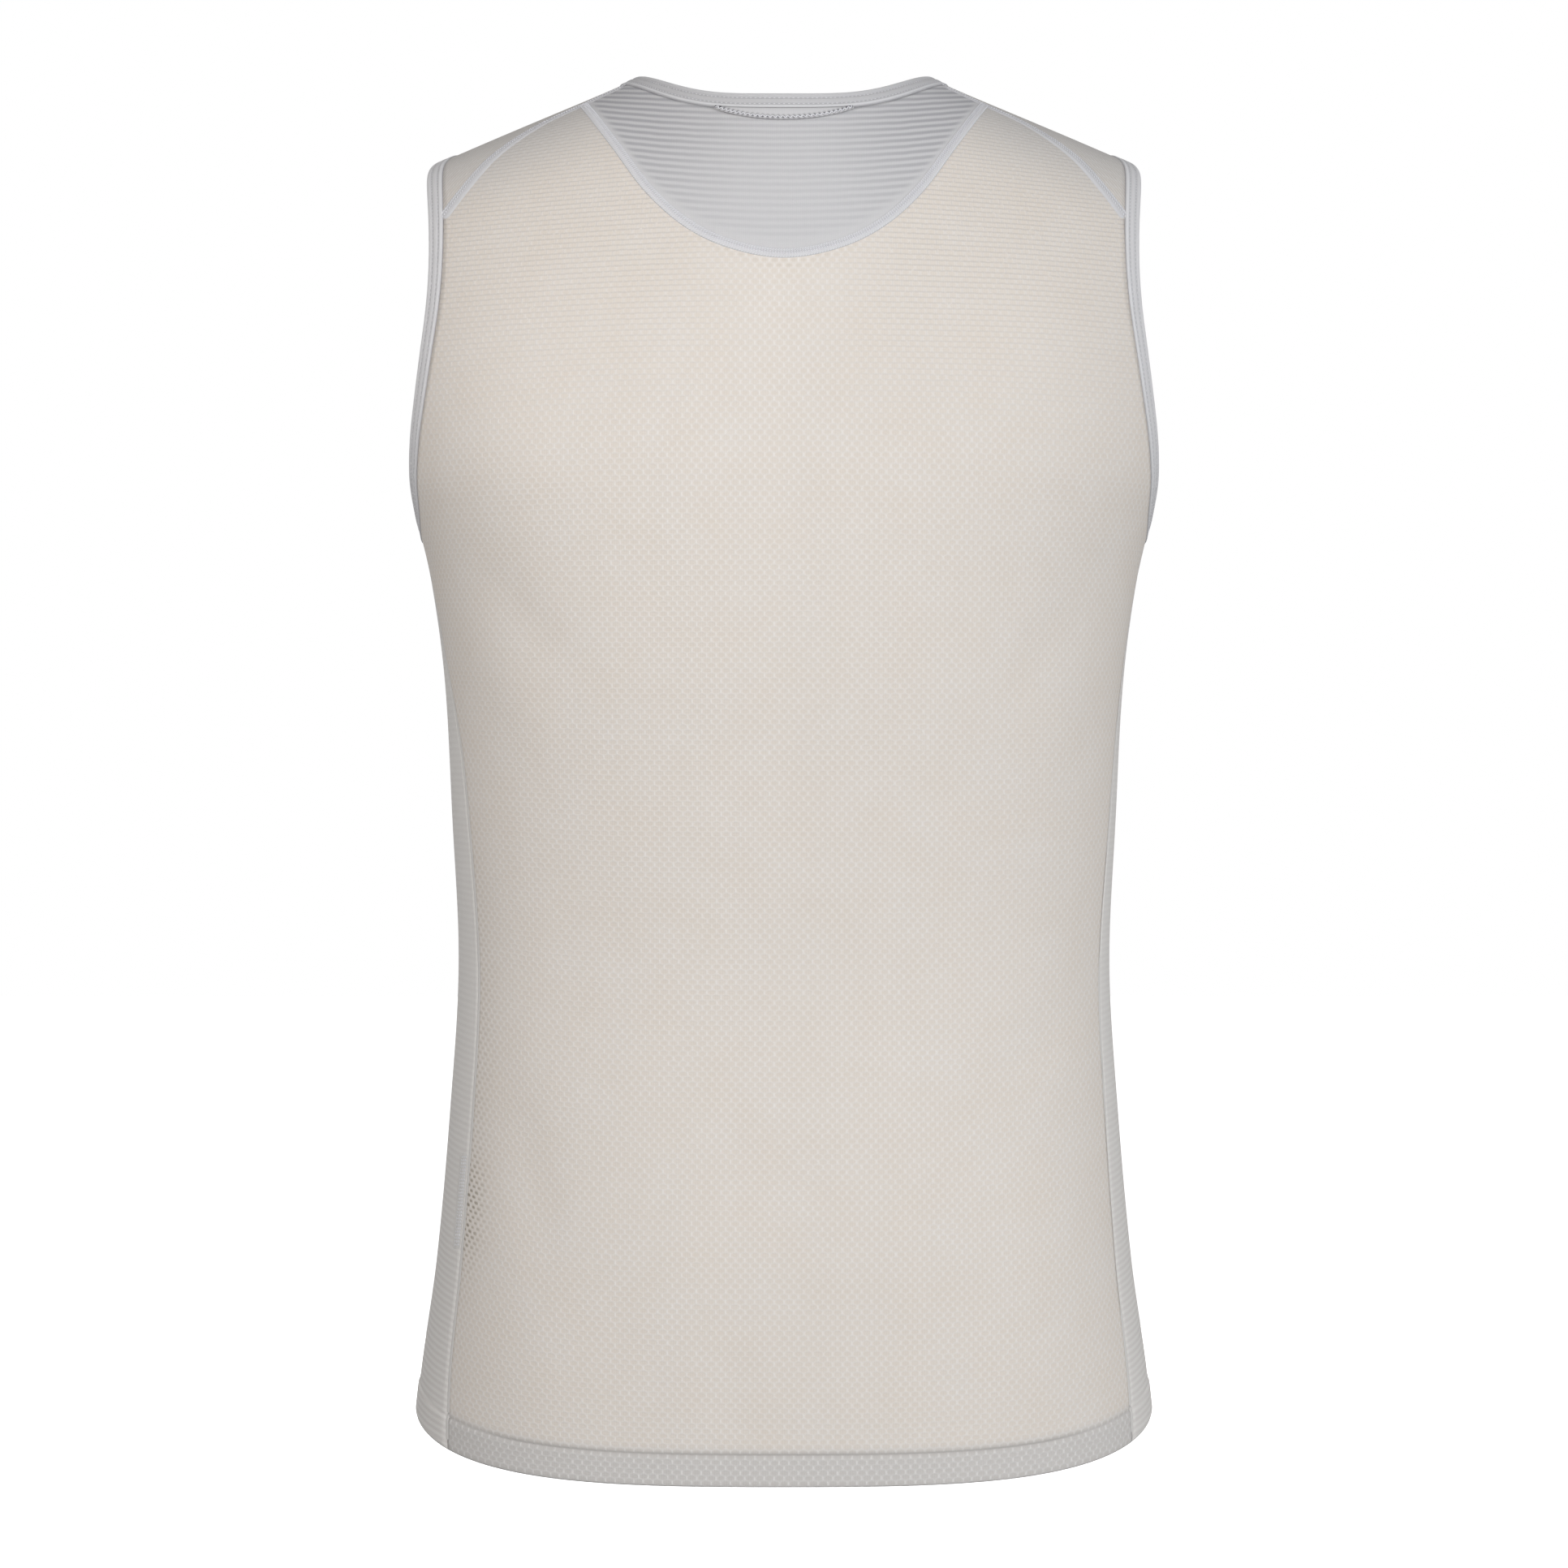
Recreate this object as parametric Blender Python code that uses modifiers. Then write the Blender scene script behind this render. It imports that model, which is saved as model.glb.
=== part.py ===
"""Sleeveless base layer, filled out in the round and open at the neck, armholes and hem.

Metres, +Z up. The front faces -Y and the wearer's left is +X. The origin is the middle of the neck
opening, just below the neck points. All the panels are stretches of one cloth surface: a ring for
each height, which rolls over the shoulders at the top. The surface runs through the middle of the
wall. A spot on it has a bearing (0 centre back, 90 the wearer's left side, 180 centre front) and a
level (0 shoulder ridge, 1 underarm, 2 hem).
"""

import math
from collections import namedtuple

import bmesh
import bpy
from mathutils import Vector

NAME = "sleeveless_base_layer"

# Walls and seams
CLOTH_WALL = 0.0012
HEM_WALL = 0.0024
BINDING_WALL = 0.0024
BINDING_LIP = 0.6  # the binding's fold is thinner than its middle by this factor
TAB_WALL = 0.0010
SEAM_GAP = 0.0003
WELD = 0.00001
TURN_STEP = 0.01  # for the direction of a curve given by a turn in degrees
ACROSS_STEP = 0.0001  # for the direction of a curve given by x

NECK_POINTS = 0.003  # height of the neck points above the origin

# Heights below the neck points
UNDERARM = 0.212
HEM_SIDE = 0.6305
TAIL_DROP = 0.024
FRONT_RISE = 0.006
HEM_DEPTH = 0.015
HEM_LEVEL = 2.0 - HEM_DEPTH / (HEM_SIDE + TAIL_DROP / 2 - UNDERARM)
HEM_STEP = 0.0035  # the step in level over which the hem's double wall thins to one

# The shoulder ridge, seen from the front
SHOULDER_SLOPE = 0.430
SHOULDER_START = 0.0721
SHOULDER_ROUND = 0.036
NECK_STAND = 0.0173
NECK_STAND_WIDTH = 0.043
BACK_ROLL = 0.185  # height over which the cloth rolls from the ridge down to the full depth
FRONT_ROLL = 0.240

# The neck opening, seen from above
NECK_HALF_WIDTH = 0.070
NECK_BACK = 0.0852
NECK_FRONT = 0.092
BINDING_WIDTH = 0.009
BINDING_STRIPS = (0.0, -BINDING_WIDTH / 2, -BINDING_WIDTH)  # its lines, past its outer edge

# The armhole, seen from the side: an egg
ARMHOLE_TOP = 0.0405
ARMHOLE_WIDEST = 0.1235
ARMHOLE_HALF_WIDTH = 0.061
ARMHOLE_PEAK = 1.15  # 1 is a round top, and more is a narrower one

# The tab under the back neck binding
TAB_HALF_WIDTH = 0.031
TAB_DROP = 0.0062
TAB_END = 0.0012
TAB_LIFT = CLOTH_WALL / 2 + SEAM_GAP + TAB_WALL / 2

Section = namedtuple("Section", "down half_width back front squareness")
SECTIONS = (
    Section(0.000, 0.1820, 0.106, 0.090, 2.50),
    Section(0.060, 0.1894, 0.114, 0.100, 2.50),
    Section(0.120, 0.1886, 0.117, 0.112, 2.50),
    Section(0.165, 0.1850, 0.117, 0.119, 2.50),
    Section(0.190, 0.1805, 0.117, 0.121, 2.45),
    Section(0.212, 0.1730, 0.116, 0.121, 2.40),
    Section(0.240, 0.1665, 0.114, 0.119, 2.30),
    Section(0.285, 0.1605, 0.109, 0.115, 2.25),
    Section(0.350, 0.1570, 0.101, 0.109, 2.20),
    Section(0.420, 0.1540, 0.096, 0.106, 2.20),
    Section(0.490, 0.1580, 0.101, 0.107, 2.25),
    Section(0.560, 0.1642, 0.110, 0.110, 2.35),
    Section(0.610, 0.1712, 0.115, 0.112, 2.40),
    Section(0.645, 0.1748, 0.116, 0.113, 2.40),
    Section(0.680, 0.1760, 0.116, 0.113, 2.40),
)

# How far the side seams lie behind the side line, and in front of it
SideSeam = namedtuple("SideSeam", "down back_left back_right front")
SIDE_SEAMS = (
    SideSeam(0.200, 0.0100, 0.010, 0.010),
    SideSeam(0.260, 0.0220, 0.018, 0.020),
    SideSeam(0.320, 0.0380, 0.026, 0.031),
    SideSeam(0.410, 0.0410, 0.031, 0.035),
    SideSeam(0.500, 0.0475, 0.039, 0.042),
    SideSeam(0.570, 0.0555, 0.048, 0.050),
    SideSeam(0.660, 0.0670, 0.058, 0.060),
)

SeamPoint = namedtuple("SeamPoint", "across down")
YOKE_CORNER = SeamPoint(0.0938, 0.0164)  # where the yoke seam meets the shoulder seam
YOKE_BREAK = 0.050  # across, where the yoke seam's foot turns into its rise
NECK_BREAK = 145.0  # the turn where the front neckline's foot turns into its rise
SHOULDER_SEAM = (
    SeamPoint(0.0600, 0.0005),
    SeamPoint(0.0746, 0.0072),
    YOKE_CORNER,
    SeamPoint(0.1150, 0.0268),
    SeamPoint(0.1350, 0.0417),
    SeamPoint(0.1480, 0.0560),
    SeamPoint(0.1700, 0.0840),
)
YOKE_SEAM = (
    SeamPoint(-0.0250, 0.0889),
    SeamPoint(0.0000, 0.0934),
    SeamPoint(0.0250, 0.0889),
    SeamPoint(0.0450, 0.0785),
    SeamPoint(0.0622, 0.0620),
    SeamPoint(0.0775, 0.0402),
    YOKE_CORNER,
)

# Grid counts
PANEL_COLUMNS = 10  # from the centre line to the side
SKIRT_ROWS = 16  # from the hem's fold to the underarm
BACK_CHEST_ROWS = 8
BACK_STRAP_ROWS = 7
FRONT_CHEST_ROWS = 8
FRONT_STRAP_ROWS = 11
YOKE_FOOT_COLUMNS = 5
NECK_FOOT_COLUMNS = 3
NECK_SEAM_COLUMNS = PANEL_COLUMNS - NECK_FOOT_COLUMNS - (PANEL_COLUMNS - YOKE_FOOT_COLUMNS)
BENT_ROWS = 4  # the rows that bend to meet a panel's top edge
YOKE_ROWS = 4
SIDE_COLUMNS = 6
TAB_COLUMNS = 12

Finish = namedtuple("Finish", "red green blue roughness")
MESH_KNIT = Finish(0.70, 0.65, 0.60, 0.85)
STRIPED_KNIT = Finish(0.55, 0.55, 0.57, 0.80)
BINDING_KNIT = Finish(0.52, 0.52, 0.55, 0.75)
TAB_KNIT = Finish(0.60, 0.60, 0.62, 0.75)


def smooth_step(share):
    share = min(max(share, 0.0), 1.0)
    return share * share * (3.0 - 2.0 * share)


def spaced(first, last, count):
    """count + 1 even values from first to last."""
    return [first + (last - first) * i / count for i in range(count + 1)]


def read_table(rows, key):
    """A row of the table at key, on smooth curves through the rows. The first column is the key."""
    keys = [row[0] for row in rows]
    key = min(max(key, keys[0]), keys[-1])
    k = max(i for i in range(len(keys) - 1) if keys[i] <= key)
    step = keys[k + 1] - keys[k]
    share = (key - keys[k]) / step

    def slope(i, column):
        low, high = max(i - 1, 0), min(i + 1, len(rows) - 1)
        return (rows[high][column] - rows[low][column]) / (keys[high] - keys[low])

    values = [key]
    for column in range(1, len(rows[0])):
        start, end = rows[k][column], rows[k + 1][column]
        leave, arrive = slope(k, column) * step, slope(k + 1, column) * step
        curve = (2 * start - 2 * end + leave + arrive) * share**3
        curve += (3 * end - 3 * start - 2 * leave - arrive) * share**2
        values.append(curve + leave * share + start)
    return type(rows[0])(*values)


def at(x, y, down):
    """The point at x and y, down below the neck points."""
    return Vector((x, y, NECK_POINTS - down))


def down_of(point):
    return NECK_POINTS - point.z


def shoulder_down(x):
    """How far the shoulder ridge lies below the neck points at x."""
    slope = SHOULDER_SLOPE * (math.hypot(x, SHOULDER_ROUND) - SHOULDER_START)
    return slope - NECK_STAND * math.exp(-((x / NECK_STAND_WIDTH) ** 2))


def hem_down(bearing):
    """The hem's height at a bearing: the back is cut in a tail, and the front a little short."""
    toward = smooth_step(abs(math.cos(math.radians(bearing))))
    return HEM_SIDE + (TAIL_DROP if abs(bearing) < 90 else -FRONT_RISE) * toward


def roll(below_ridge, height, squareness):
    """Share of the full depth that the cloth has reached at a distance below the ridge."""
    left = 1.0 - min(max(below_ridge / height, 0.0), 1.0)
    return (1.0 - left**squareness) ** (1.0 / squareness)


def cloth_point(bearing, level):
    """The cloth surface's point at a bearing in degrees and a level."""
    angle = math.radians(bearing)
    side, ahead = abs(math.sin(angle)), abs(math.cos(angle))
    back = abs(bearing) < 90
    drop = 1.0 - math.cos(math.radians(90) * min(level, 1.0))
    x = 0.1 * side
    for _ in range(12):
        down = shoulder_down(x) + (UNDERARM - shoulder_down(x)) * drop
        if level > 1.0:
            down = UNDERARM + (hem_down(bearing) - UNDERARM) * (level - 1.0)
        row = read_table(SECTIONS, down)
        reach = (side**row.squareness + ahead**row.squareness) ** (-1.0 / row.squareness)
        x = row.half_width * reach * side
    depth = row.back if back else row.front
    rolled = roll(down - shoulder_down(x), BACK_ROLL if back else FRONT_ROLL, row.squareness)
    y = depth * reach * ahead * rolled
    return at(math.copysign(x, bearing), y if back else -y, down)


def strap_point(column, level):
    """The surface's point on a column that goes over the shoulder: level is below 0 on the front."""
    if level >= 0:
        return cloth_point(column, level)
    return cloth_point(math.copysign(180.0, column) - column, -level)


def spot_of(point):
    """(bearing within 90 of the centre line, level below 0 on the front) of a point on the surface."""
    down = down_of(point)
    row = read_table(SECTIONS, down)
    back = point.y >= 0
    ridge = shoulder_down(point.x)
    rolled = roll(down - ridge, BACK_ROLL if back else FRONT_ROLL, row.squareness)
    side = min(abs(point.x) / row.half_width, 1.0)
    ahead = (1.0 - side**row.squareness) ** (1.0 / row.squareness)
    if rolled > 0.5:
        ahead = abs(point.y) / (row.back if back else row.front) / rolled
    column = math.degrees(math.atan2(side, ahead))
    if down <= UNDERARM:
        share = (UNDERARM - down) / (UNDERARM - ridge)
        level = math.acos(min(max(share, 0.0), 1.0)) / math.radians(90)
    else:
        foot = hem_down(column if back else 180.0 - column)
        level = 1.0 + (down - UNDERARM) / (foot - UNDERARM)
    return math.copysign(column, point.x), level if back else -level


def off_surface(point):
    """Zero on the cloth surface, and above zero outside it."""
    down = down_of(point)
    row = read_table(SECTIONS, down)
    back = point.y >= 0
    below = (down - shoulder_down(point.x)) / (BACK_ROLL if back else FRONT_ROLL)
    rolled = 1.0 - max(1.0 - below, 0.0) ** row.squareness
    across = 1.0 - (abs(point.x) / row.half_width) ** row.squareness
    return (abs(point.y) / (row.back if back else row.front)) ** row.squareness - across * rolled


def outward(point):
    """The direction out of the cloth surface near a point."""
    step = 1e-5
    axes = (Vector((step, 0, 0)), Vector((0, step, 0)), Vector((0, 0, step)))
    return Vector([off_surface(point + axis) - off_surface(point - axis) for axis in axes]) / (2 * step)


def seat(point):
    """The surface's point next to a point."""
    for _ in range(8):
        slope = outward(point)
        point = point - slope * (off_surface(point) / slope.length_squared)
    return point


def down_where(x, y):
    """How far below the neck points the surface is y deep at x."""
    low, high = shoulder_down(x), UNDERARM
    for _ in range(40):
        middle = (low + high) / 2
        if off_surface(at(x, y, middle)) > 0:
            low = middle
        else:
            high = middle
    return (low + high) / 2


def back_point(x, down):
    """The back's point at x and a height."""
    row = read_table(SECTIONS, down)
    ahead = (1.0 - (abs(x) / row.half_width) ** row.squareness) ** (1.0 / row.squareness)
    rolled = roll(down - shoulder_down(x), BACK_ROLL, row.squareness)
    return at(x, row.back * ahead * rolled, down)


def side_point(y, down):
    """The left side's point at y and a height."""
    low, high = 0.0, read_table(SECTIONS, down).half_width
    for _ in range(40):
        middle = (low + high) / 2
        if off_surface(at(middle, y, down)) > 0:
            high = middle
        else:
            low = middle
    return at(low, y, down)


def neck_edge(turn):
    """The neck opening's edge: turn 0 is centre back, 90 the wearer's left, 180 centre front."""
    x = NECK_HALF_WIDTH * math.sin(math.radians(turn))
    across = math.cos(math.radians(turn))
    y = (NECK_BACK if across > 0 else NECK_FRONT) * across
    return at(x, y, down_where(x, y))


def armhole_edge(turn):
    """The left armhole's edge: turn 0 is its top, 90 at the back, 180 its foot."""
    rise, swing = math.cos(math.radians(turn)), math.sin(math.radians(turn))
    height = ARMHOLE_WIDEST - ARMHOLE_TOP if rise > 0 else UNDERARM - ARMHOLE_WIDEST
    y = ARMHOLE_HALF_WIDTH * abs(swing) ** (ARMHOLE_PEAK if rise > 0 else 1.0)
    return side_point(math.copysign(y, swing), ARMHOLE_WIDEST - height * rise)


def shoulder_seam(x):
    return back_point(x, read_table(SHOULDER_SEAM, x).down)


def yoke_seam(x):
    return back_point(x, read_table(YOKE_SEAM, x).down)


def beside(curve, place, distance, step):
    """The surface's point beside a curve: distance to its right as it runs, seen from outside."""
    point = curve(place)
    along = curve(place + step) - curve(place - step)
    right = along.cross(outward(point)).normalized()
    return seat(point + right * distance)


def beside_seam(seam, x, distance):
    """A point beside a seam that is given by x: above it, or in front of it."""
    return beside(seam, x, distance, ACROSS_STEP)


def root(function, low, high):
    """Where the function is zero between low and high."""
    rising = function(high) > function(low)
    for _ in range(40):
        middle = (low + high) / 2
        if (function(middle) < 0) == rising:
            low = middle
        else:
            high = middle
    return (low + high) / 2


def neck_line(turn, past=0.0):
    """The neck binding's outer edge, or past it."""
    return beside(neck_edge, turn, -(BINDING_WIDTH + past), TURN_STEP)


def armhole_line(turn, past=0.0):
    """The left armhole binding's outer edge, or past it."""
    return beside(armhole_edge, turn, -(BINDING_WIDTH + past), TURN_STEP)


def side_seam_y(down, column, past):
    """How far behind or in front of the side line a side seam's panel begins."""
    return getattr(read_table(SIDE_SEAMS, down), column) + past


def side_seam_spots(levels, column, past):
    """Spots on a side seam at these levels, moved past it into the back or the front."""
    facing = -1 if column == "front" else 1
    spots = []
    for level in levels:
        angle = 80.0
        for _ in range(6):
            point = cloth_point(angle if facing > 0 else 180.0 - angle, level)
            row = read_table(SECTIONS, down_of(point))
            depth = row.back if facing > 0 else row.front
            ahead = side_seam_y(down_of(point), column, past) / depth
            side = (1.0 - ahead**row.squareness) ** (1.0 / row.squareness)
            angle = math.degrees(math.atan2(side, ahead))
        spots.append((angle, facing * level))
    return spots


def skirt_levels(top):
    """Levels from the hem to the top: the hem's two edges, a step past them and even steps."""
    return [2.0, HEM_LEVEL] + spaced(HEM_LEVEL - HEM_STEP, top, SKIRT_ROWS)


def row_between(start, end, count):
    """count + 1 spots from start to end."""
    return list(zip(spaced(start[0], end[0], count), spaced(start[1], end[1], count)))


def ruled(inner, outer, count, top=None):
    """Rows of spots between two edges. The last rows bend to meet a top edge."""
    rows = [row_between(start, end, count) for start, end in zip(inner, outer)]
    if top is None:
        return rows
    shifts = [(t[0] - s[0], t[1] - s[1]) for s, t in zip(rows[-1], top)]
    for i, row in enumerate(rows):
        weight = max(i - (len(rows) - 1 - BENT_ROWS), 0) / BENT_ROWS
        rows[i] = [(s[0] + d[0] * weight, s[1] + d[1] * weight) for s, d in zip(row, shifts)]
    return rows


class Half:
    """One half of the garment, worked out on the left: its seams' corners and its panels' grids."""

    def __init__(self, side):
        self.mirrored = side == "right"
        self.back_column = "back_" + side
        self.neck_seam = root(self.above_seam(neck_line), 40.0, 89.0)
        self.arm_seam = root(self.above_seam(armhole_line), 5.0, 80.0)
        self.yoke_turns = spaced(0.0, self.neck_seam, YOKE_FOOT_COLUMNS + BACK_STRAP_ROWS)
        self.neck_turns = spaced(180.0, NECK_BREAK, NECK_FOOT_COLUMNS)
        self.neck_turns += spaced(NECK_BREAK, self.neck_seam, FRONT_STRAP_ROWS)[1:]
        yoke_break = spot_of(yoke_seam(YOKE_BREAK))
        neck_break = spot_of(neck_line(NECK_BREAK))
        back_shoulder = self.arm_turn_at(yoke_break[1], 20.0, 120.0)
        front_shoulder = self.arm_turn_at(neck_break[1], 240.0, 350.0)
        back_corner = self.corner_turn(self.back_column, SEAM_GAP / 2)
        front_corner = self.corner_turn("front", SEAM_GAP / 2)
        side_start = self.corner_turn(self.back_column, -SEAM_GAP / 2)
        side_end = self.corner_turn("front", -SEAM_GAP / 2)
        self.back_chest_turns = spaced(back_corner, back_shoulder, BACK_CHEST_ROWS)
        self.back_strap_turns = spaced(back_shoulder, self.arm_seam, BACK_STRAP_ROWS)
        self.front_chest_turns = spaced(front_corner, front_shoulder, FRONT_CHEST_ROWS)
        self.front_strap_turns = spaced(front_shoulder, 360.0 + self.arm_seam, FRONT_STRAP_ROWS)
        self.side_turns = spaced(side_start, side_end, SIDE_COLUMNS)

    def above_seam(self, line):
        return lambda turn: shoulder_seam(line(turn).x).z - line(turn).z

    def arm_turn_at(self, level, low, high):
        """The armhole's turn where the binding's outer edge is at a level, below 0 on the front."""
        return root(lambda turn: spot_of(armhole_line(turn, SEAM_GAP))[1] - level, low, high)

    def corner_turn(self, column, past):
        """The armhole's turn where a side seam meets the binding's outer edge."""
        facing = -1 if column == "front" else 1

        def beyond(turn):
            point = armhole_line(turn, SEAM_GAP)
            return facing * point.y - side_seam_y(down_of(point), column, past)

        return root(beyond, 180.0, 270.0 if facing < 0 else 90.0)

    def placed(self, rows, point_at=strap_point):
        """The grid of points of rows of spots, on this half's side."""
        points = [[point_at(*spot) for spot in row] for row in rows]
        return mirrored(points) if self.mirrored else points

    def arm_spots(self, turns):
        return [spot_of(armhole_line(turn, SEAM_GAP)) for turn in turns]

    def neck_spots(self, turns):
        return [spot_of(neck_line(turn, SEAM_GAP)) for turn in turns]

    def yoke_spots(self, past):
        """The yoke seam from the centre to the corner, moved up past it."""
        across = spaced(0.0, YOKE_BREAK, YOKE_FOOT_COLUMNS)
        across += spaced(YOKE_BREAK, YOKE_CORNER.across - past, BACK_STRAP_ROWS)[1:]
        return [spot_of(beside_seam(yoke_seam, x, past)) for x in across]

    def shoulder_spots(self, start, past):
        """The shoulder seam from start to the armhole, moved past it to the front."""
        corner, end = YOKE_CORNER.across, armhole_line(self.arm_seam, SEAM_GAP).x
        across = spaced(start, corner, NECK_SEAM_COLUMNS) if start < corner else [start]
        across += spaced(corner, end, PANEL_COLUMNS - YOKE_FOOT_COLUMNS)[1:]
        return [spot_of(beside_seam(shoulder_seam, x, past)) for x in across]

    def skirt(self, column, facing, top_turn):
        """A panel's grid from the hem to the underarm."""
        corner = spot_of(armhole_line(top_turn, SEAM_GAP))
        inner = [(0.0, facing * level) for level in skirt_levels(1.0)]
        outer = side_seam_spots(skirt_levels(abs(corner[1]))[:-1], column, SEAM_GAP / 2) + [corner]
        return self.placed(ruled(inner, outer, PANEL_COLUMNS))

    def upper(self, start, opening, foot_columns, chest_turns, strap_turns, shoulder):
        """A panel's grids above the underarm: below the foot of its opening, and beside its rise."""
        chest = [(0.0, level) for level in spaced(start, opening[0][1], len(chest_turns) - 1)]
        beside_arm, above_arm = self.arm_spots(chest_turns), self.arm_spots(strap_turns)
        rise = opening[foot_columns:]
        columns = PANEL_COLUMNS - foot_columns
        top = opening[:foot_columns] + row_between(rise[0], above_arm[0], columns)
        return [
            self.placed(ruled(chest, beside_arm, PANEL_COLUMNS, top)),
            self.placed(ruled(rise, above_arm, columns, shoulder)),
        ]

    def back_grids(self):
        shoulder = self.shoulder_spots(YOKE_CORNER.across + SEAM_GAP / 2, -SEAM_GAP / 2)
        skirt = self.skirt(self.back_column, 1, self.back_chest_turns[0])
        turns = self.back_chest_turns, self.back_strap_turns
        return [skirt] + self.upper(1.0, self.yoke_spots(-SEAM_GAP / 2), YOKE_FOOT_COLUMNS, *turns, shoulder)

    def front_grids(self):
        neck = self.neck_spots(self.neck_turns)
        shoulder = self.shoulder_spots(strap_point(*neck[-1]).x, SEAM_GAP / 2)
        skirt = self.skirt("front", -1, self.front_chest_turns[0])
        turns = self.front_chest_turns, self.front_strap_turns
        return [skirt] + self.upper(-1.0, neck, NECK_FOOT_COLUMNS, *turns, shoulder)

    def yoke_grid(self):
        neck = self.neck_spots(self.yoke_turns)
        across = spaced(strap_point(*neck[-1]).x, YOKE_CORNER.across - SEAM_GAP / 2, YOKE_ROWS)
        top = [spot_of(beside_seam(shoulder_seam, x, -SEAM_GAP / 2)) for x in across]
        return self.placed(ruled(neck, self.yoke_spots(SEAM_GAP / 2), YOKE_ROWS, top))

    def side_grid(self):
        """The side panel's grid, from its back seam to its front seam, up to the armhole."""
        corners = [spot_of(armhole_line(turn, SEAM_GAP)) for turn in self.side_turns]
        top = [(angle if level > 0 else 180.0 - angle, abs(level)) for angle, level in corners]
        back = side_seam_spots(skirt_levels(top[0][1]), self.back_column, -SEAM_GAP / 2)
        front = side_seam_spots(skirt_levels(top[-1][1]), "front", -SEAM_GAP / 2)
        front = [(180.0 - angle, -level) for angle, level in front]
        return self.placed(ruled(back, front, SIDE_COLUMNS, top), cloth_point)

    def armhole_binding_grid(self):
        turns = self.back_strap_turns[::-1] + self.back_chest_turns[::-1][1:] + self.side_turns[1:-1]
        turns += self.front_chest_turns + self.front_strap_turns[1:]
        points = [[armhole_line(turn, past) for past in BINDING_STRIPS] for turn in turns]
        return mirrored(points) if self.mirrored else points


def mirrored(points):
    return [[Vector((-point.x, point.y, point.z)) for point in row] for row in points]


def neck_binding_grid(half):
    """A strip round the whole neck opening."""
    turns = half.yoke_turns + half.neck_turns[::-1][1:]
    turns += [360.0 - turn for turn in turns[::-1][1:]]
    return [[neck_line(turn, past) for past in BINDING_STRIPS] for turn in turns]


def tab_grid():
    """A crescent below the back neck binding, on the yoke's outer face."""
    end = root(lambda turn: neck_line(turn).x - TAB_HALF_WIDTH, 5.0, 60.0)
    rows = []
    for turn in spaced(-end, end, TAB_COLUMNS):
        drop = TAB_END + (TAB_DROP - TAB_END) * (1.0 - (turn / end) ** 2)
        row = []
        for share in (0.0, 0.5, 1.0):
            point = neck_line(turn, SEAM_GAP + drop * share)
            row.append(point + outward(point).normalized() * TAB_LIFT)
        rows.append(row)
    return rows


def in_hem(point, _column):
    return abs(spot_of(point)[1]) > HEM_LEVEL - HEM_STEP / 2


def off_lip(_point, column):
    """Whether a binding's point is off its lip, the fold at the opening's edge."""
    return column < len(BINDING_STRIPS) - 1


def grid_object(name, grids, wall, finish, thick=None, thin_share=1.0):
    """A walled piece from grids of points joined edge to edge. Where thick is false it is thinner."""
    shell = bmesh.new()
    weights = shell.verts.layers.deform.verify()
    for points in grids:
        rows, columns = len(points) - 1, len(points[0]) - 1
        made = bmesh.ops.create_grid(shell, x_segments=columns, y_segments=rows, size=0.5)
        for vertex in made["verts"]:
            column, row = round((vertex.co.x + 0.5) * columns), round((vertex.co.y + 0.5) * rows)
            vertex.co = points[row][column]
            if thick and thick(vertex.co, column):
                vertex[weights][0] = 1.0
        faces = {face for vertex in made["verts"] for face in vertex.link_faces}
        for face in faces:
            face.normal_update()
        sample = max(faces, key=lambda face: face.calc_area())
        if sample.normal.dot(outward(seat(sample.calc_center_median()))) < 0:
            bmesh.ops.reverse_faces(shell, faces=list(faces))
    bmesh.ops.remove_doubles(shell, verts=shell.verts, dist=WELD)
    mesh = bpy.data.meshes.new(name)
    shell.to_mesh(mesh)
    shell.free()
    mesh.shade_smooth()
    part = bpy.data.objects.new(name, mesh)
    bpy.data.collections[NAME].objects.link(part)

    walls = part.modifiers.new("wall", "SOLIDIFY")
    walls.thickness = wall
    walls.offset = 0.0
    walls.use_even_offset = True
    walls.use_quality_normals = True
    if thick:
        walls.vertex_group = part.vertex_groups.new(name="thick").name
        walls.thickness_vertex_group = thin_share

    material = bpy.data.materials.new(name)
    material.use_nodes = True
    shader = material.node_tree.nodes["Principled BSDF"]
    shader.inputs["Base Color"].default_value = (finish.red, finish.green, finish.blue, 1.0)
    shader.inputs["Roughness"].default_value = finish.roughness
    shader.inputs["Metallic"].default_value = 0.0
    mesh.materials.append(material)
    return part


def main():
    for item in list(bpy.data.objects):
        bpy.data.objects.remove(item)
    bpy.context.scene.collection.children.link(bpy.data.collections.new(NAME))

    left, right = Half("left"), Half("right")
    hem = {"thick": in_hem, "thin_share": CLOTH_WALL / HEM_WALL}
    lip = {"thick": off_lip, "thin_share": BINDING_LIP}
    grid_object("back_panel", left.back_grids() + right.back_grids(), HEM_WALL, MESH_KNIT, **hem)
    grid_object("front_panel", left.front_grids() + right.front_grids(), HEM_WALL, MESH_KNIT, **hem)
    grid_object("back_yoke", [left.yoke_grid(), right.yoke_grid()], CLOTH_WALL, STRIPED_KNIT)
    for half, side in ((left, "left"), (right, "right")):
        grid_object("side_panel_" + side, [half.side_grid()], HEM_WALL, STRIPED_KNIT, **hem)
        arm = [half.armhole_binding_grid()]
        grid_object("armhole_binding_" + side, arm, BINDING_WALL, BINDING_KNIT, **lip)
    grid_object("neck_binding", [neck_binding_grid(left)], BINDING_WALL, BINDING_KNIT, **lip)
    grid_object("neck_tab", [tab_grid()], TAB_WALL, TAB_KNIT)


if __name__ == "__main__":
    main()
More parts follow.
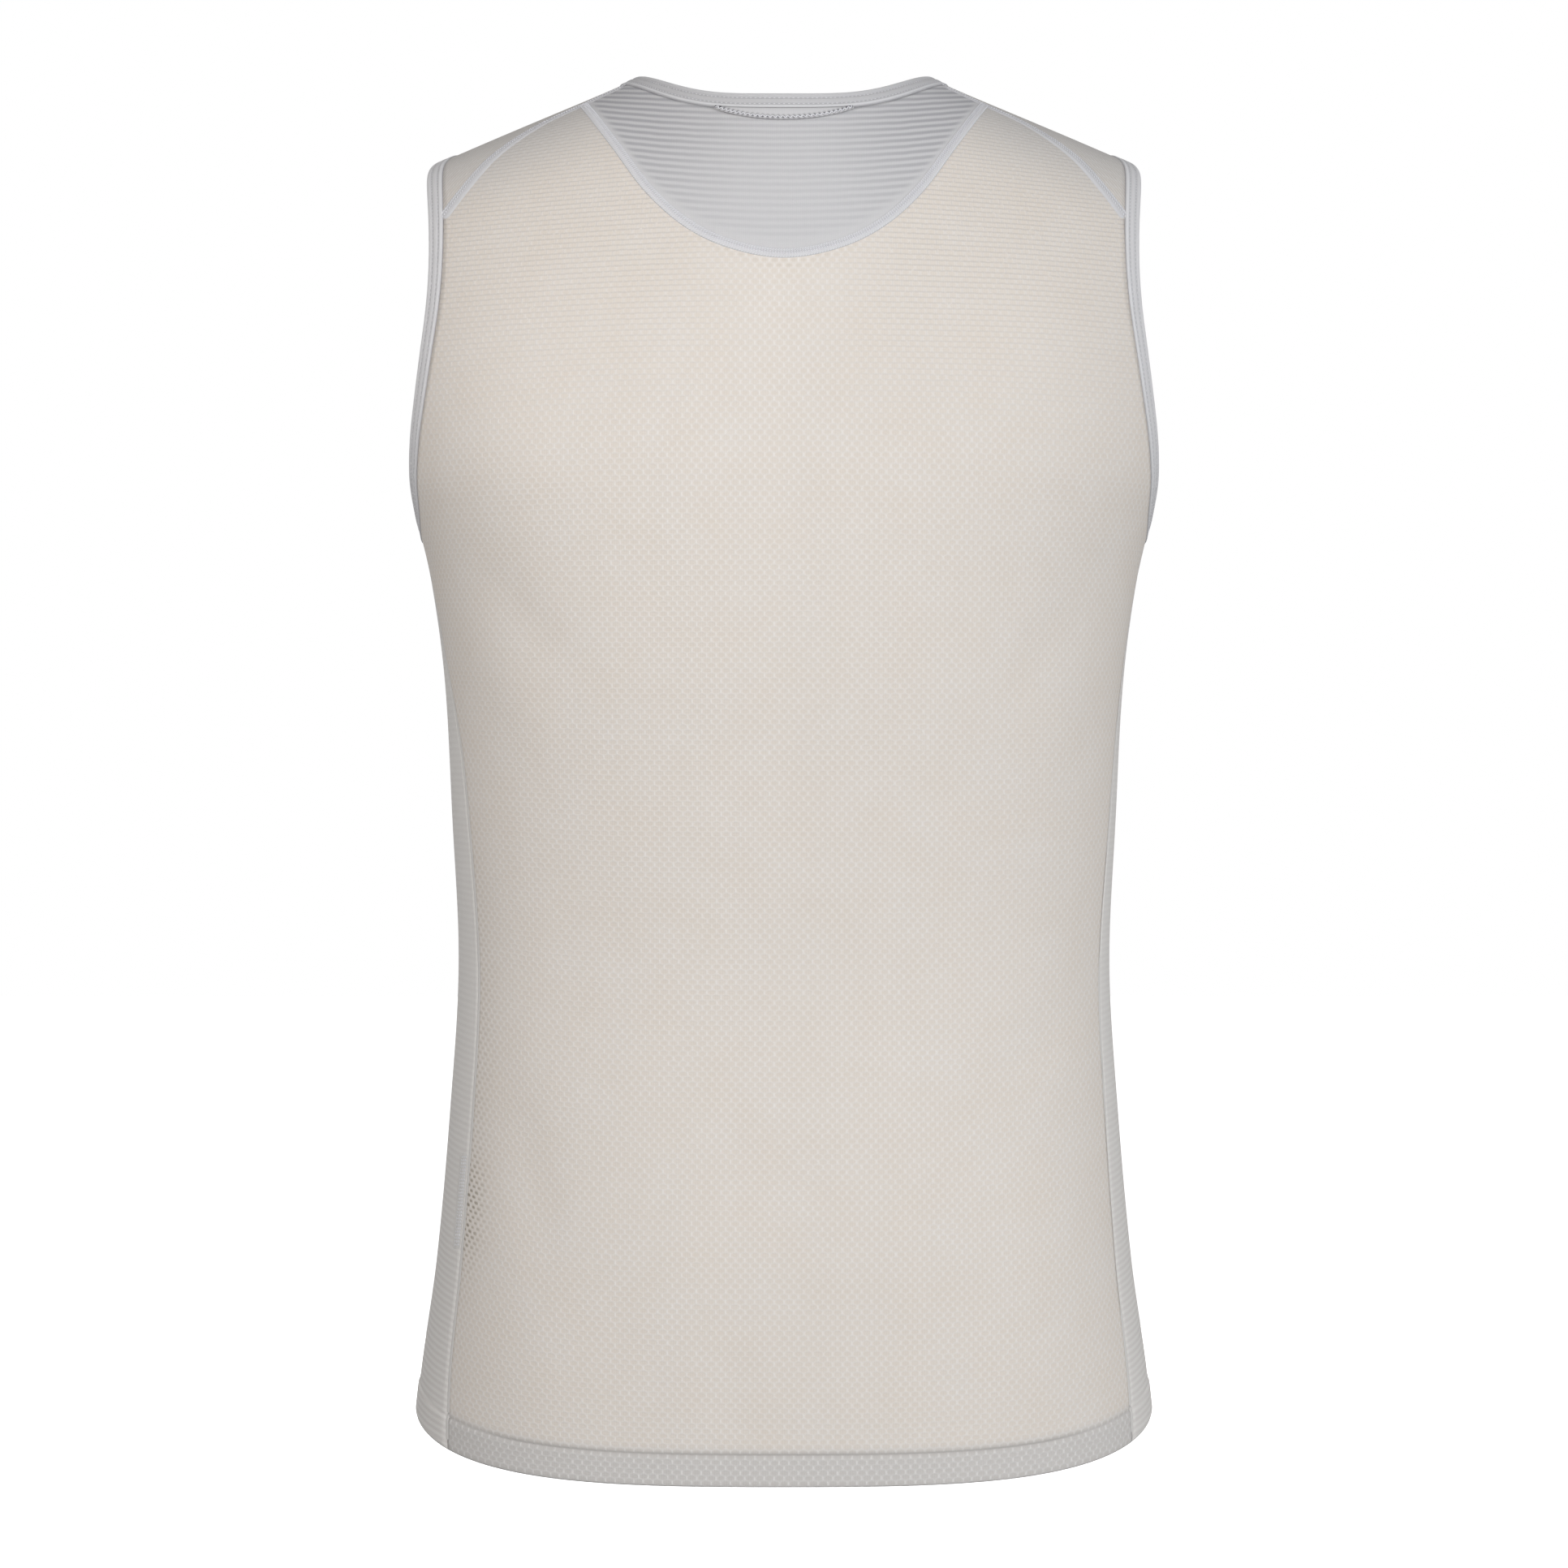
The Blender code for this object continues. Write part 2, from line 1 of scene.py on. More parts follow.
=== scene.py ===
"""Looks of the sleeveless base layer: fine cloth shells, bindings, stitching and knit finishes.

Metres, +Z up. The front faces -Y and the wearer's left is +X. The cloth surface is the one that the
solids have, through the middle of the wall. A spot on it is a column, in degrees from the centre
line round to the side, and a level: 0 at the shoulder ridge, 1 at the underarm and 2 at the hem.
Levels below 0 are on the front.
"""

import logging
import math
from collections import namedtuple
from collections.abc import Callable
from dataclasses import dataclass, replace
from enum import Enum
from functools import partial

import bpy
import numpy as np
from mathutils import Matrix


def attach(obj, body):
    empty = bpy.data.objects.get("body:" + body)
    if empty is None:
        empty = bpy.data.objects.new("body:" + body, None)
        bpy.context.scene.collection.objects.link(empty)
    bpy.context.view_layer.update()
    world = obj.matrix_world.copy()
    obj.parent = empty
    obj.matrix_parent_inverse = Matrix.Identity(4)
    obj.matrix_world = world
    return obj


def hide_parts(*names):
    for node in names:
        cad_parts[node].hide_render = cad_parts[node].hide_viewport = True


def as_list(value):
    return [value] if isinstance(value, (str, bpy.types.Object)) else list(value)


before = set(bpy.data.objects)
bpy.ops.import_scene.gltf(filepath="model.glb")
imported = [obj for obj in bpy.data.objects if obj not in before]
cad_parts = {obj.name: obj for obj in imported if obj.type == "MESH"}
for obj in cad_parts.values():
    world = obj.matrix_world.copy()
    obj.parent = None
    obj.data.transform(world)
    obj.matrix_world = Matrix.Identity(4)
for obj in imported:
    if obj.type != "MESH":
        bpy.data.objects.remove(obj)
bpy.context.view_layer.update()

BODY = "root"
WELD = 0.00001
# Small steps along curves, in metres and in degrees
X_STEP = 0.0001
TURN_STEP = 0.01
QUARTER_TURN = math.pi / 2
log = logging.getLogger("base_layer")

Array = np.ndarray
Curve = Callable[[Array], Array]
Piece = bpy.types.Object
Socket = bpy.types.NodeSocket


class Table:
    """Rows of numbers, read on smooth curves by their first column."""

    def __init__(self, *rows: tuple) -> None:
        """Works out the curves between the rows."""
        values = np.array(rows)
        self.knots = values[:, 0]
        slopes = np.empty_like(values)
        slopes[1:-1] = (values[2:] - values[:-2]) / (self.knots[2:] - self.knots[:-2])[:, None]
        slopes[0] = (values[1] - values[0]) / (self.knots[1] - self.knots[0])
        slopes[-1] = (values[-1] - values[-2]) / (self.knots[-1] - self.knots[-2])
        steps = np.diff(self.knots)[:, None]
        rise = np.diff(values, axis=0)
        leave, arrive = slopes[:-1] * steps, slopes[1:] * steps
        powers = values[:-1], leave, 3 * rise - 2 * leave - arrive, leave + arrive - 2 * rise
        self.steps = steps[:, 0]
        self.powers = [power[:, 1:].T for power in powers]

    def read(self, keys: Array) -> Array:
        """The other columns at the keys, one array for each."""
        keys = np.clip(keys, self.knots[0], self.knots[-1])
        k = np.clip(np.searchsorted(self.knots, keys, side="right") - 1, 0, len(self.steps) - 1)
        share = (keys - self.knots[k]) / self.steps[k]
        start, first, second, third = (power[:, k] for power in self.powers)
        return ((third * share + second) * share + first) * share + start


Section = namedtuple("Section", "down half_width back front squareness")
SECTIONS = Table(
    Section(0.000, 0.1820, 0.106, 0.090, 2.50),
    Section(0.060, 0.1894, 0.114, 0.100, 2.50),
    Section(0.120, 0.1886, 0.117, 0.112, 2.50),
    Section(0.165, 0.1850, 0.117, 0.119, 2.50),
    Section(0.190, 0.1805, 0.117, 0.121, 2.45),
    Section(0.212, 0.1730, 0.116, 0.121, 2.40),
    Section(0.240, 0.1665, 0.114, 0.119, 2.30),
    Section(0.285, 0.1605, 0.109, 0.115, 2.25),
    Section(0.350, 0.1570, 0.101, 0.109, 2.20),
    Section(0.420, 0.1540, 0.096, 0.106, 2.20),
    Section(0.490, 0.1580, 0.101, 0.107, 2.25),
    Section(0.560, 0.1642, 0.110, 0.110, 2.35),
    Section(0.610, 0.1712, 0.115, 0.112, 2.40),
    Section(0.645, 0.1748, 0.116, 0.113, 2.40),
    Section(0.680, 0.1760, 0.116, 0.113, 2.40),
)

# How far the side seams lie behind the side line, and in front of it
SideSeam = namedtuple("SideSeam", "down back_left back_right front")
SIDE_SEAMS = Table(
    SideSeam(0.200, 0.0100, 0.010, 0.010),
    SideSeam(0.260, 0.0220, 0.018, 0.020),
    SideSeam(0.320, 0.0380, 0.026, 0.031),
    SideSeam(0.410, 0.0410, 0.031, 0.035),
    SideSeam(0.500, 0.0475, 0.039, 0.042),
    SideSeam(0.570, 0.0555, 0.048, 0.050),
    SideSeam(0.660, 0.0670, 0.058, 0.060),
)

SeamPoint = namedtuple("SeamPoint", "across down")
YOKE_CORNER = SeamPoint(0.0938, 0.0164)
SHOULDER_SEAM = Table(
    SeamPoint(0.0600, 0.0005),
    SeamPoint(0.0746, 0.0072),
    YOKE_CORNER,
    SeamPoint(0.1150, 0.0268),
    SeamPoint(0.1350, 0.0417),
    SeamPoint(0.1480, 0.0570),
    SeamPoint(0.1700, 0.0870),
)
YOKE_SEAM = Table(
    SeamPoint(-0.0250, 0.0889),
    SeamPoint(0.0000, 0.0934),
    SeamPoint(0.0250, 0.0889),
    SeamPoint(0.0450, 0.0785),
    SeamPoint(0.0622, 0.0620),
    SeamPoint(0.0775, 0.0402),
    YOKE_CORNER,
)

# Soft swells (rise above 0) and hollows of the filled-out cloth. Depth is the side: 1 back, -1 front
Swell = namedtuple("Swell", "across depth down wide tall rise")
SWELLS = (
    Swell(0.055, 1, 0.150, 0.040, 0.050, 0.0020),
    Swell(-0.115, 1, 0.135, 0.036, 0.046, 0.0022),
    Swell(0.125, 1, 0.190, 0.030, 0.040, 0.0012),
    Swell(0.000, 1, 0.190, 0.018, 0.110, -0.0014),
    Swell(0.090, 1, 0.400, 0.035, 0.070, -0.0012),
    Swell(-0.020, 1, 0.420, 0.050, 0.080, -0.0014),
    Swell(0.046, 1, 0.553, 0.040, 0.045, 0.0018),
    Swell(-0.048, 1, 0.535, 0.036, 0.050, 0.0017),
    Swell(-0.112, 1, 0.560, 0.030, 0.050, 0.0010),
    Swell(0.112, 1, 0.590, 0.026, 0.040, 0.0010),
    Swell(0.060, -1, 0.185, 0.050, 0.045, 0.0022),
    Swell(-0.062, -1, 0.182, 0.048, 0.048, 0.0021),
    Swell(0.000, -1, 0.200, 0.022, 0.060, -0.0014),
    Swell(0.050, -1, 0.520, 0.046, 0.060, 0.0014),
    Swell(-0.064, -1, 0.545, 0.040, 0.052, 0.0013),
    Swell(0.010, -1, 0.400, 0.060, 0.060, -0.0012),
)

# Creases: soft ridges (rise above 0) and troughs from one point to another, with a middle point
Crease = namedtuple("Crease", "depth path wide rise")
CREASES = (
    Crease(1, ((0.0945, 0.185), (0.0955, 0.222), (0.0950, 0.262)), 0.0012, 0.00016),
    Crease(1, ((-0.0920, 0.178), (-0.0915, 0.230), (-0.0925, 0.284)), 0.0012, 0.00015),
    Crease(1, ((0.140, 0.230), (0.120, 0.262), (0.094, 0.282)), 0.0110, -0.0008),
    Crease(1, ((0.150, 0.250), (0.131, 0.292), (0.104, 0.318)), 0.0130, 0.0007),
    Crease(1, ((-0.142, 0.236), (-0.124, 0.270), (-0.100, 0.296)), 0.0120, -0.0007),
    Crease(1, ((-0.150, 0.262), (-0.134, 0.306), (-0.112, 0.330)), 0.0140, 0.0006),
    Crease(1, ((0.128, 0.470), (0.112, 0.520), (0.106, 0.566)), 0.0120, -0.0008),
    Crease(1, ((-0.138, 0.430), (-0.118, 0.462), (-0.088, 0.480)), 0.0130, -0.0007),
    Crease(1, ((0.020, 0.590), (0.024, 0.612), (0.025, 0.634)), 0.0120, -0.0007),
    Crease(1, ((-0.080, 0.596), (-0.083, 0.616), (-0.084, 0.634)), 0.0110, -0.0006),
    Crease(-1, ((0.138, 0.225), (0.114, 0.250), (0.088, 0.262)), 0.0110, -0.0009),
    Crease(-1, ((-0.140, 0.232), (-0.118, 0.262), (-0.086, 0.276)), 0.0120, -0.0008),
    Crease(-1, ((0.138, 0.400), (0.108, 0.428), (0.070, 0.436)), 0.0120, -0.0008),
    Crease(-1, ((-0.136, 0.420), (-0.104, 0.440), (-0.072, 0.442)), 0.0130, -0.0007),
    Crease(-1, ((0.094, 0.180), (0.094, 0.220), (0.095, 0.270)), 0.0012, 0.00015),
    Crease(-1, ((-0.060, 0.575), (-0.064, 0.600), (-0.066, 0.622)), 0.0110, -0.0007),
)


def unit(vectors: Array) -> Array:
    """The vectors at length 1."""
    return vectors / np.linalg.norm(vectors, axis=-1, keepdims=True)


def smooth_step(share: Array) -> Array:
    """A soft rise from 0 to 1 as share goes from 0 to 1."""
    share = np.clip(share, 0.0, 1.0)
    return share * share * (3.0 - 2.0 * share)


def bell(distance: Array, width: float) -> Array:
    """1 at no distance, falling softly to 0 over a few widths."""
    return np.exp(-((distance / width) ** 2))


def root(function: Callable[[Array], Array], low: float, high: float) -> float:
    """Where the function first crosses zero between low and high."""
    for _ in range(5):
        values = np.linspace(low, high, 33)
        below = function(values) < 0
        crossed = max(int(np.argmax(below != below[0])), 1)
        low, high = values[crossed - 1], values[crossed]
    return float((low + high) / 2)


def to_polyline(points: Array, path: Array) -> Array:
    """Distance from each point to a path, with the share along it.

    Args:
        points: Points, one to a row.
        path: The path's corners.

    Returns:
        Distances and shares along the path, from 0 to 1, stacked.
    """
    best = np.full(points.shape[:-1], np.inf)
    along = np.zeros(points.shape[:-1])
    for i, (start, end) in enumerate(zip(path[:-1], path[1:])):
        run = end - start
        share = np.clip((points - start) @ run / (run @ run), 0.0, 1.0)
        distance = np.linalg.norm(points - (start + share[..., None] * run), axis=-1)
        nearer = distance < best
        best = np.where(nearer, distance, best)
        along = np.where(nearer, (i + share) / (len(path) - 1), along)
    return np.stack([best, along])


def side_seam_place(points: Array, column: str) -> Array:
    """How far a side seam, named by its column in SIDE_SEAMS, lies from the side line, by points."""
    return SIDE_SEAMS.read(FORM.down_of(points))[SideSeam._fields.index(column) - 1]


@dataclass(frozen=True)
class GarmentForm:
    """The cloth surface of the filled-out garment, and the lines that its pieces end at."""

    neck_points: float = 0.003
    underarm: float = 0.212
    hem_side: float = 0.6305
    tail_drop: float = 0.024
    front_rise: float = 0.006
    shoulder_slope: float = 0.430
    shoulder_start: float = 0.0721
    shoulder_round: float = 0.036
    neck_stand: float = 0.0173
    neck_stand_width: float = 0.043
    back_roll: float = 0.185
    front_roll: float = 0.240
    neck_half_width: float = 0.070
    neck_back: float = 0.0852
    neck_front: float = 0.092
    armhole_top: float = 0.0405
    armhole_widest: float = 0.1235
    armhole_half_width: float = 0.061
    armhole_peak: float = 1.15
    binding_width: float = 0.009
    swell_turn: float = 0.06
    crease_turn: float = 0.04

    def at(self, x: Array, y: Array, down: Array) -> Array:
        """Points at x and y, down below the neck points."""
        return np.stack(np.broadcast_arrays(x, y, self.neck_points - np.asarray(down)), axis=-1)

    def down_of(self, points: Array) -> Array:
        """How far points lie below the neck points."""
        return self.neck_points - points[..., 2]

    def ridge(self, x: Array) -> Array:
        """How far the shoulder ridge lies below the neck points at x."""
        slope = self.shoulder_slope * (np.hypot(x, self.shoulder_round) - self.shoulder_start)
        return slope - self.neck_stand * bell(x, self.neck_stand_width)

    def hem_down(self, bearing: Array) -> Array:
        """The hem's height at a bearing, 0 at the centre back and 180 at the centre front."""
        toward = smooth_step(np.abs(np.cos(np.radians(bearing))))
        return self.hem_side + np.where(np.abs(bearing) < 90, self.tail_drop, -self.front_rise) * toward

    def section(self, down: Array, back: Array) -> tuple[Array, Array, Array, Array]:
        """The half width, depth, squareness and height of roll, on the back or the front."""
        half_width, back_depth, front_depth, squareness = SECTIONS.read(down)
        depth = np.where(back, back_depth, front_depth)
        return half_width, depth, squareness, np.where(back, self.back_roll, self.front_roll)

    def roll(self, below: Array, height: Array, squareness: Array) -> Array:
        """Share of the full depth that the cloth has reached at a distance below the ridge."""
        left = 1.0 - np.clip(below / height, 0.0, 1.0)
        return (1.0 - left**squareness) ** (1.0 / squareness)

    def ring_point(self, bearing: Array, level: Array) -> Array:
        """Points of the surface at a bearing from the centre back and a level of 0 or more."""
        bearing, level = np.broadcast_arrays(np.asarray(bearing, float), np.asarray(level, float))
        angle = np.radians(bearing)
        side, ahead = np.abs(np.sin(angle)), np.abs(np.cos(angle))
        back = np.abs(bearing) < 90
        drop = 1.0 - np.cos(QUARTER_TURN * np.minimum(level, 1.0))
        foot = self.underarm + (self.hem_down(bearing) - self.underarm) * (level - 1.0)
        x = 0.1 * side
        for _ in range(12):
            ridge = self.ridge(x)
            down = np.where(level > 1.0, foot, ridge + (self.underarm - ridge) * drop)
            half_width, depth, squareness, height = self.section(down, back)
            reach = (side**squareness + ahead**squareness) ** (-1.0 / squareness)
            x = half_width * reach * side
        y = depth * reach * ahead * self.roll(down - self.ridge(x), height, squareness)
        return self.at(np.copysign(x, bearing), np.where(back, y, -y), down)

    def spot_point(self, spots: Array) -> Array:
        """Points of the surface at spots of column and level."""
        column, level = spots[..., 0], spots[..., 1]
        return self.ring_point(np.where(level < 0, 180.0 - column, column), np.abs(level))

    def spot_of(self, points: Array) -> Array:
        """Spots of column and level of points on the left half."""
        down, back = self.down_of(points), points[..., 1] >= 0
        half_width, depth, squareness, height = self.section(down, back)
        ridge = self.ridge(points[..., 0])
        rolled = self.roll(down - ridge, height, squareness)
        side = np.minimum(np.abs(points[..., 0]) / half_width, 1.0)
        ahead = (1.0 - side**squareness) ** (1.0 / squareness)
        measured = np.abs(points[..., 1]) / depth / np.maximum(rolled, 0.5)
        ahead = np.where(rolled > 0.5, measured, ahead)
        column = np.degrees(np.arctan2(side, ahead))
        share = np.clip((self.underarm - down) / (self.underarm - ridge), 0.0, 1.0)
        foot = self.hem_down(np.where(back, column, 180.0 - column))
        below = 1.0 + (down - self.underarm) / (foot - self.underarm)
        level = np.where(down <= self.underarm, np.arccos(share) / QUARTER_TURN, below)
        return np.stack([column, np.where(back, level, -level)], axis=-1)

    def off_surface(self, points: Array) -> Array:
        """Zero on the cloth surface, and above zero outside it."""
        down = self.down_of(points)
        half_width, depth, squareness, height = self.section(down, points[..., 1] >= 0)
        below = (down - self.ridge(points[..., 0])) / height
        rolled = 1.0 - np.maximum(1.0 - below, 0.0) ** squareness
        across = 1.0 - (np.abs(points[..., 0]) / half_width) ** squareness
        return (np.abs(points[..., 1]) / depth) ** squareness - across * rolled

    def slope(self, points: Array) -> Array:
        """The gradient of off_surface near the surface."""
        step = 1e-5
        axes = np.eye(3) * step
        sides = [self.off_surface(points + axis) - self.off_surface(points - axis) for axis in axes]
        return np.stack(sides, axis=-1) / (2 * step)

    def outward(self, points: Array) -> Array:
        """The direction out of the cloth surface."""
        return unit(self.slope(points))

    def seat(self, points: Array) -> Array:
        """The surface's points next to these."""
        for _ in range(8):
            slope = self.slope(points)
            reach = self.off_surface(points) / (slope**2).sum(axis=-1)
            points = points - slope * reach[..., None]
        return points

    def search(self, make: Curve, low: Array, high: Array, outside_low: bool) -> Array:
        """Where a line of points crosses the surface.

        Args:
            make: Gives the points for the values that are searched.
            low: The lowest values.
            high: The highest values.
            outside_low: Whether the points at the low values lie outside the surface.

        Returns:
            The values on the surface.
        """
        for _ in range(40):
            middle = (low + high) / 2
            outside = (self.off_surface(make(middle)) > 0) == outside_low
            low, high = np.where(outside, middle, low), np.where(outside, high, middle)
        return (low + high) / 2

    def back_point(self, x: Array, down: Array) -> Array:
        """The back's points at x and a height."""
        half_width, depth, _, squareness = SECTIONS.read(down)
        ahead = (1.0 - (np.abs(x) / half_width) ** squareness) ** (1.0 / squareness)
        return self.at(x, depth * ahead * self.roll(down - self.ridge(x), self.back_roll, squareness), down)

    def neck_edge(self, turn: Array) -> Array:
        """The neck opening's edge: turn 0 is centre back, 90 the wearer's left, 180 centre front."""
        across = np.cos(np.radians(turn))
        x = self.neck_half_width * np.sin(np.radians(turn))
        y = np.where(across > 0, self.neck_back, self.neck_front) * across
        lowest = np.full_like(x, self.underarm)
        return self.at(x, y, self.search(lambda down: self.at(x, y, down), self.ridge(x), lowest, True))

    def armhole_edge(self, turn: Array) -> Array:
        """The left armhole's edge: turn 0 is its top, 90 at the back, 180 its foot."""
        rise, swing = np.cos(np.radians(turn)), np.sin(np.radians(turn))
        above, below = self.armhole_widest - self.armhole_top, self.underarm - self.armhole_widest
        peak = np.where(rise > 0, self.armhole_peak, 1.0)
        y = np.copysign(self.armhole_half_width * np.abs(swing) ** peak, swing)
        down = self.armhole_widest - np.where(rise > 0, above, below) * rise
        widest = SECTIONS.read(down)[0]
        x = self.search(lambda x: self.at(x, y, down), np.zeros_like(y), widest, False)
        return self.at(x, y, down)

    def shoulder_seam(self, x: Array) -> Array:
        """The left shoulder seam, by x."""
        return self.back_point(x, SHOULDER_SEAM.read(x)[0])

    def yoke_seam(self, x: Array) -> Array:
        """The yoke seam's left half, by x, a little past the centre too."""
        return self.back_point(x, YOKE_SEAM.read(x)[0])

    def beside(self, curve: Curve, places: Array, distance: Array, step: float) -> Array:
        """Points of the surface beside a curve.

        Args:
            curve: The curve, by place.
            places: Where along it.
            distance: How far to its right as it runs, seen from outside.
            step: A small step in place, for its direction.

        Returns:
            The points, on the surface.
        """
        points = curve(places)
        right = unit(np.cross(curve(places + step) - curve(places - step), self.outward(points)))
        return self.seat(points + right * np.asarray(distance)[..., None])

    def neck_line(self, turn: Array, past: Array = 0.0) -> Array:
        """The neck binding's outer edge, or past it."""
        return self.beside(self.neck_edge, turn, -(self.binding_width + np.asarray(past)), TURN_STEP)

    def armhole_line(self, turn: Array, past: Array = 0.0) -> Array:
        """The left armhole binding's outer edge, or past it."""
        return self.beside(self.armhole_edge, turn, -(self.binding_width + np.asarray(past)), TURN_STEP)

    def side_seam(self, levels: Array, column: str, past: float) -> Array:
        """Spots on a side seam.

        Args:
            levels: Levels of 0 or more.
            column: The seam's column in SIDE_SEAMS.
            past: How far past it into the back or the front.

        Returns:
            The spots, with levels below 0 on the front.
        """
        facing = -1 if column == "front" else 1
        angle = np.full_like(levels, 80.0)
        for _ in range(8):
            points = self.ring_point(angle if facing > 0 else 180.0 - angle, levels)
            _, depth, squareness, _ = self.section(self.down_of(points), facing > 0)
            ahead = (side_seam_place(points, column) + past) / depth
            side = (1.0 - ahead**squareness) ** (1.0 / squareness)
            angle = np.degrees(np.arctan2(side, ahead))
        return np.stack([angle, facing * levels], axis=-1)

    def relief(self, points: Array) -> Array:
        """How far the swells, hollows and creases lift the cloth at points of the surface."""
        lift = np.zeros(points.shape[:-1])
        flat = np.stack([points[..., 0], self.down_of(points)], axis=-1)
        shares = np.linspace(0.0, 1.0, 9)
        for swell in SWELLS:
            across = bell(flat[..., 0] - swell.across, swell.wide)
            tall = bell(flat[..., 1] - swell.down, swell.tall)
            there = smooth_step(0.5 + points[..., 1] * swell.depth / self.swell_turn)
            lift += swell.rise * across * tall * there
        for crease in CREASES:
            start, middle, end = np.array(crease.path)
            path = [(1 - s) ** 2 * start + 2 * s * (1 - s) * middle + s**2 * end for s in shares]
            distance, along = to_polyline(flat, np.array(path))
            there = smooth_step(0.5 + points[..., 1] * crease.depth / self.crease_turn)
            fade = np.sin(math.pi * np.clip(along, 0.04, 0.96)) ** 0.7
            lift += crease.rise * bell(distance, crease.wide) * fade * there
        return lift

    def lifted(self, points: Array, height: Array = 0.0) -> Array:
        """Points of the surface moved onto the creased cloth, and out from it by a height."""
        return points + self.outward(points) * (self.relief(points) + height)[..., None]


FORM = GarmentForm()


class KnitLay:
    """How the knit lies on the cloth: distances across from the centre line and up from the underarm."""

    COLUMNS = np.linspace(0.0, 90.0, 181)
    LEVELS = np.linspace(0.0, 2.0, 401)

    def __init__(self) -> None:
        """Measures the surface on the back and on the front."""
        self.back = self.measured(1)
        self.front = self.measured(-1)

    def measured(self, facing: int) -> tuple[Array, Array]:
        """The distances across and up on one face, at COLUMNS and LEVELS."""
        column, level = np.meshgrid(self.COLUMNS, self.LEVELS, indexing="ij")
        points = FORM.ring_point(column if facing > 0 else 180.0 - column, level)
        across = np.zeros(column.shape)
        down = np.zeros(column.shape)
        across[1:] = np.cumsum(np.linalg.norm(np.diff(points, axis=0), axis=-1), axis=0)
        down[:, 1:] = np.cumsum(np.linalg.norm(np.diff(points, axis=1), axis=-1), axis=1)
        underarm = len(self.LEVELS) // 2
        above = down[:, underarm : underarm + 1] - down
        below = -(level - 1.0) * (down[0, -1] - down[0, underarm])
        return across, np.where(level <= 1.0, above, below)

    def look_up(self, tables: tuple[Array, Array], column: Array, level: Array) -> list[Array]:
        """Reads both tables between their samples."""
        i = np.clip(column / 90.0 * (len(self.COLUMNS) - 1), 0, len(self.COLUMNS) - 1.001)
        j = np.clip(level / 2.0 * (len(self.LEVELS) - 1), 0, len(self.LEVELS) - 1.001)
        low_i, low_j = i.astype(int), j.astype(int)
        share_i, share_j = i - low_i, j - low_j
        found = []
        for table in tables:
            start = table[low_i, low_j] * (1 - share_j) + table[low_i, low_j + 1] * share_j
            end = table[low_i + 1, low_j] * (1 - share_j) + table[low_i + 1, low_j + 1] * share_j
            found.append(start * (1 - share_i) + end * share_i)
        return found

    def back_lay(self, spots: Array) -> Array:
        """Across and up for spots on the back."""
        return np.stack(self.look_up(self.back, spots[..., 0], np.abs(spots[..., 1])), axis=-1)

    def front_lay(self, spots: Array) -> Array:
        """Across and up for spots of the front panel, which runs on over the ridge."""
        column, level = spots[..., 0], spots[..., 1]
        across, up = self.look_up(self.front, column, np.where(level < 0, -level, 0.0))
        back_across, back_up = self.look_up(self.back, column, np.maximum(level, 0.0))
        ridge_up = self.look_up(self.back, column, np.zeros_like(level))[1]
        over = level > 0
        up = up + np.where(over, ridge_up - back_up, 0.0)
        return np.stack([np.where(over, back_across, across), up], axis=-1)

    def side_lay(self, spots: Array) -> Array:
        """Across from the side line and up, for spots whose column is a bearing."""
        bearing, level = spots[..., 0], spots[..., 1]
        back_across, back_up = self.look_up(self.back, np.minimum(bearing, 90.0), level)
        side_line = np.full_like(bearing, 90.0)
        edge = self.look_up(self.back, side_line, level)[0]
        front_across = self.look_up(self.front, np.minimum(180.0 - bearing, 90.0), level)[0]
        front_edge = self.look_up(self.front, side_line, level)[0]
        across = np.where(bearing < 90, back_across - edge, front_edge - front_across)
        return np.stack([across, back_up], axis=-1)


def select(*pieces: Piece) -> None:
    """Selects these pieces and nothing else. The first is the active one."""
    bpy.ops.object.select_all(action="DESELECT")
    for piece in pieces:
        piece.select_set(True)
    if pieces:
        bpy.context.view_layer.objects.active = pieces[0]


def operate(piece: Piece, *steps: Callable[[], object]) -> None:
    """Runs edit-mode steps on all of a piece."""
    select(piece)
    bpy.ops.object.mode_set(mode="EDIT")
    bpy.ops.mesh.select_all(action="SELECT")
    for step in steps:
        step()
    bpy.ops.object.mode_set(mode="OBJECT")


def weld() -> None:
    """Merges the points that lie on each other, in edit mode."""
    bpy.ops.mesh.remove_doubles(threshold=WELD)


def face_out() -> None:
    """Turns a closed shape's faces outwards, in edit mode."""
    bpy.ops.mesh.normals_make_consistent(inside=False)


def patch(name: str, points: Array, lay: Array, marks: dict[str, Array]) -> Piece:
    """A grid of cloth laid on given points.

    Args:
        name: The patch's name.
        points: Rows of points.
        lay: Rows of distances across and along the knit, for the pattern.
        marks: Values by name that the finish reads, in rows as the points.

    Returns:
        The patch, with its distances as its UV map.
    """
    rows, columns = points.shape[0] - 1, points.shape[1] - 1
    select()
    bpy.ops.mesh.primitive_grid_add(x_subdivisions=columns, y_subdivisions=rows, size=1.0)
    piece = bpy.context.object
    piece.name = name
    mesh = piece.data
    mesh.name = name
    flat = np.empty(len(mesh.vertices) * 3)
    mesh.vertices.foreach_get("co", flat)
    flat = flat.reshape(-1, 3)
    column = np.rint((flat[:, 0] + 0.5) * columns).astype(int)
    row = np.rint((flat[:, 1] + 0.5) * rows).astype(int)
    mesh.vertices.foreach_set("co", points[row, column].ravel())
    corners = np.empty(len(mesh.loops), int)
    mesh.loops.foreach_get("vertex_index", corners)
    mesh.uv_layers.active.data.foreach_set("uv", lay[row, column][corners].ravel())
    for mark, values in marks.items():
        layer = mesh.attributes.new(mark, "FLOAT", "POINT")
        layer.data.foreach_set("value", values[row, column].ravel())
    mesh.update()
    return piece


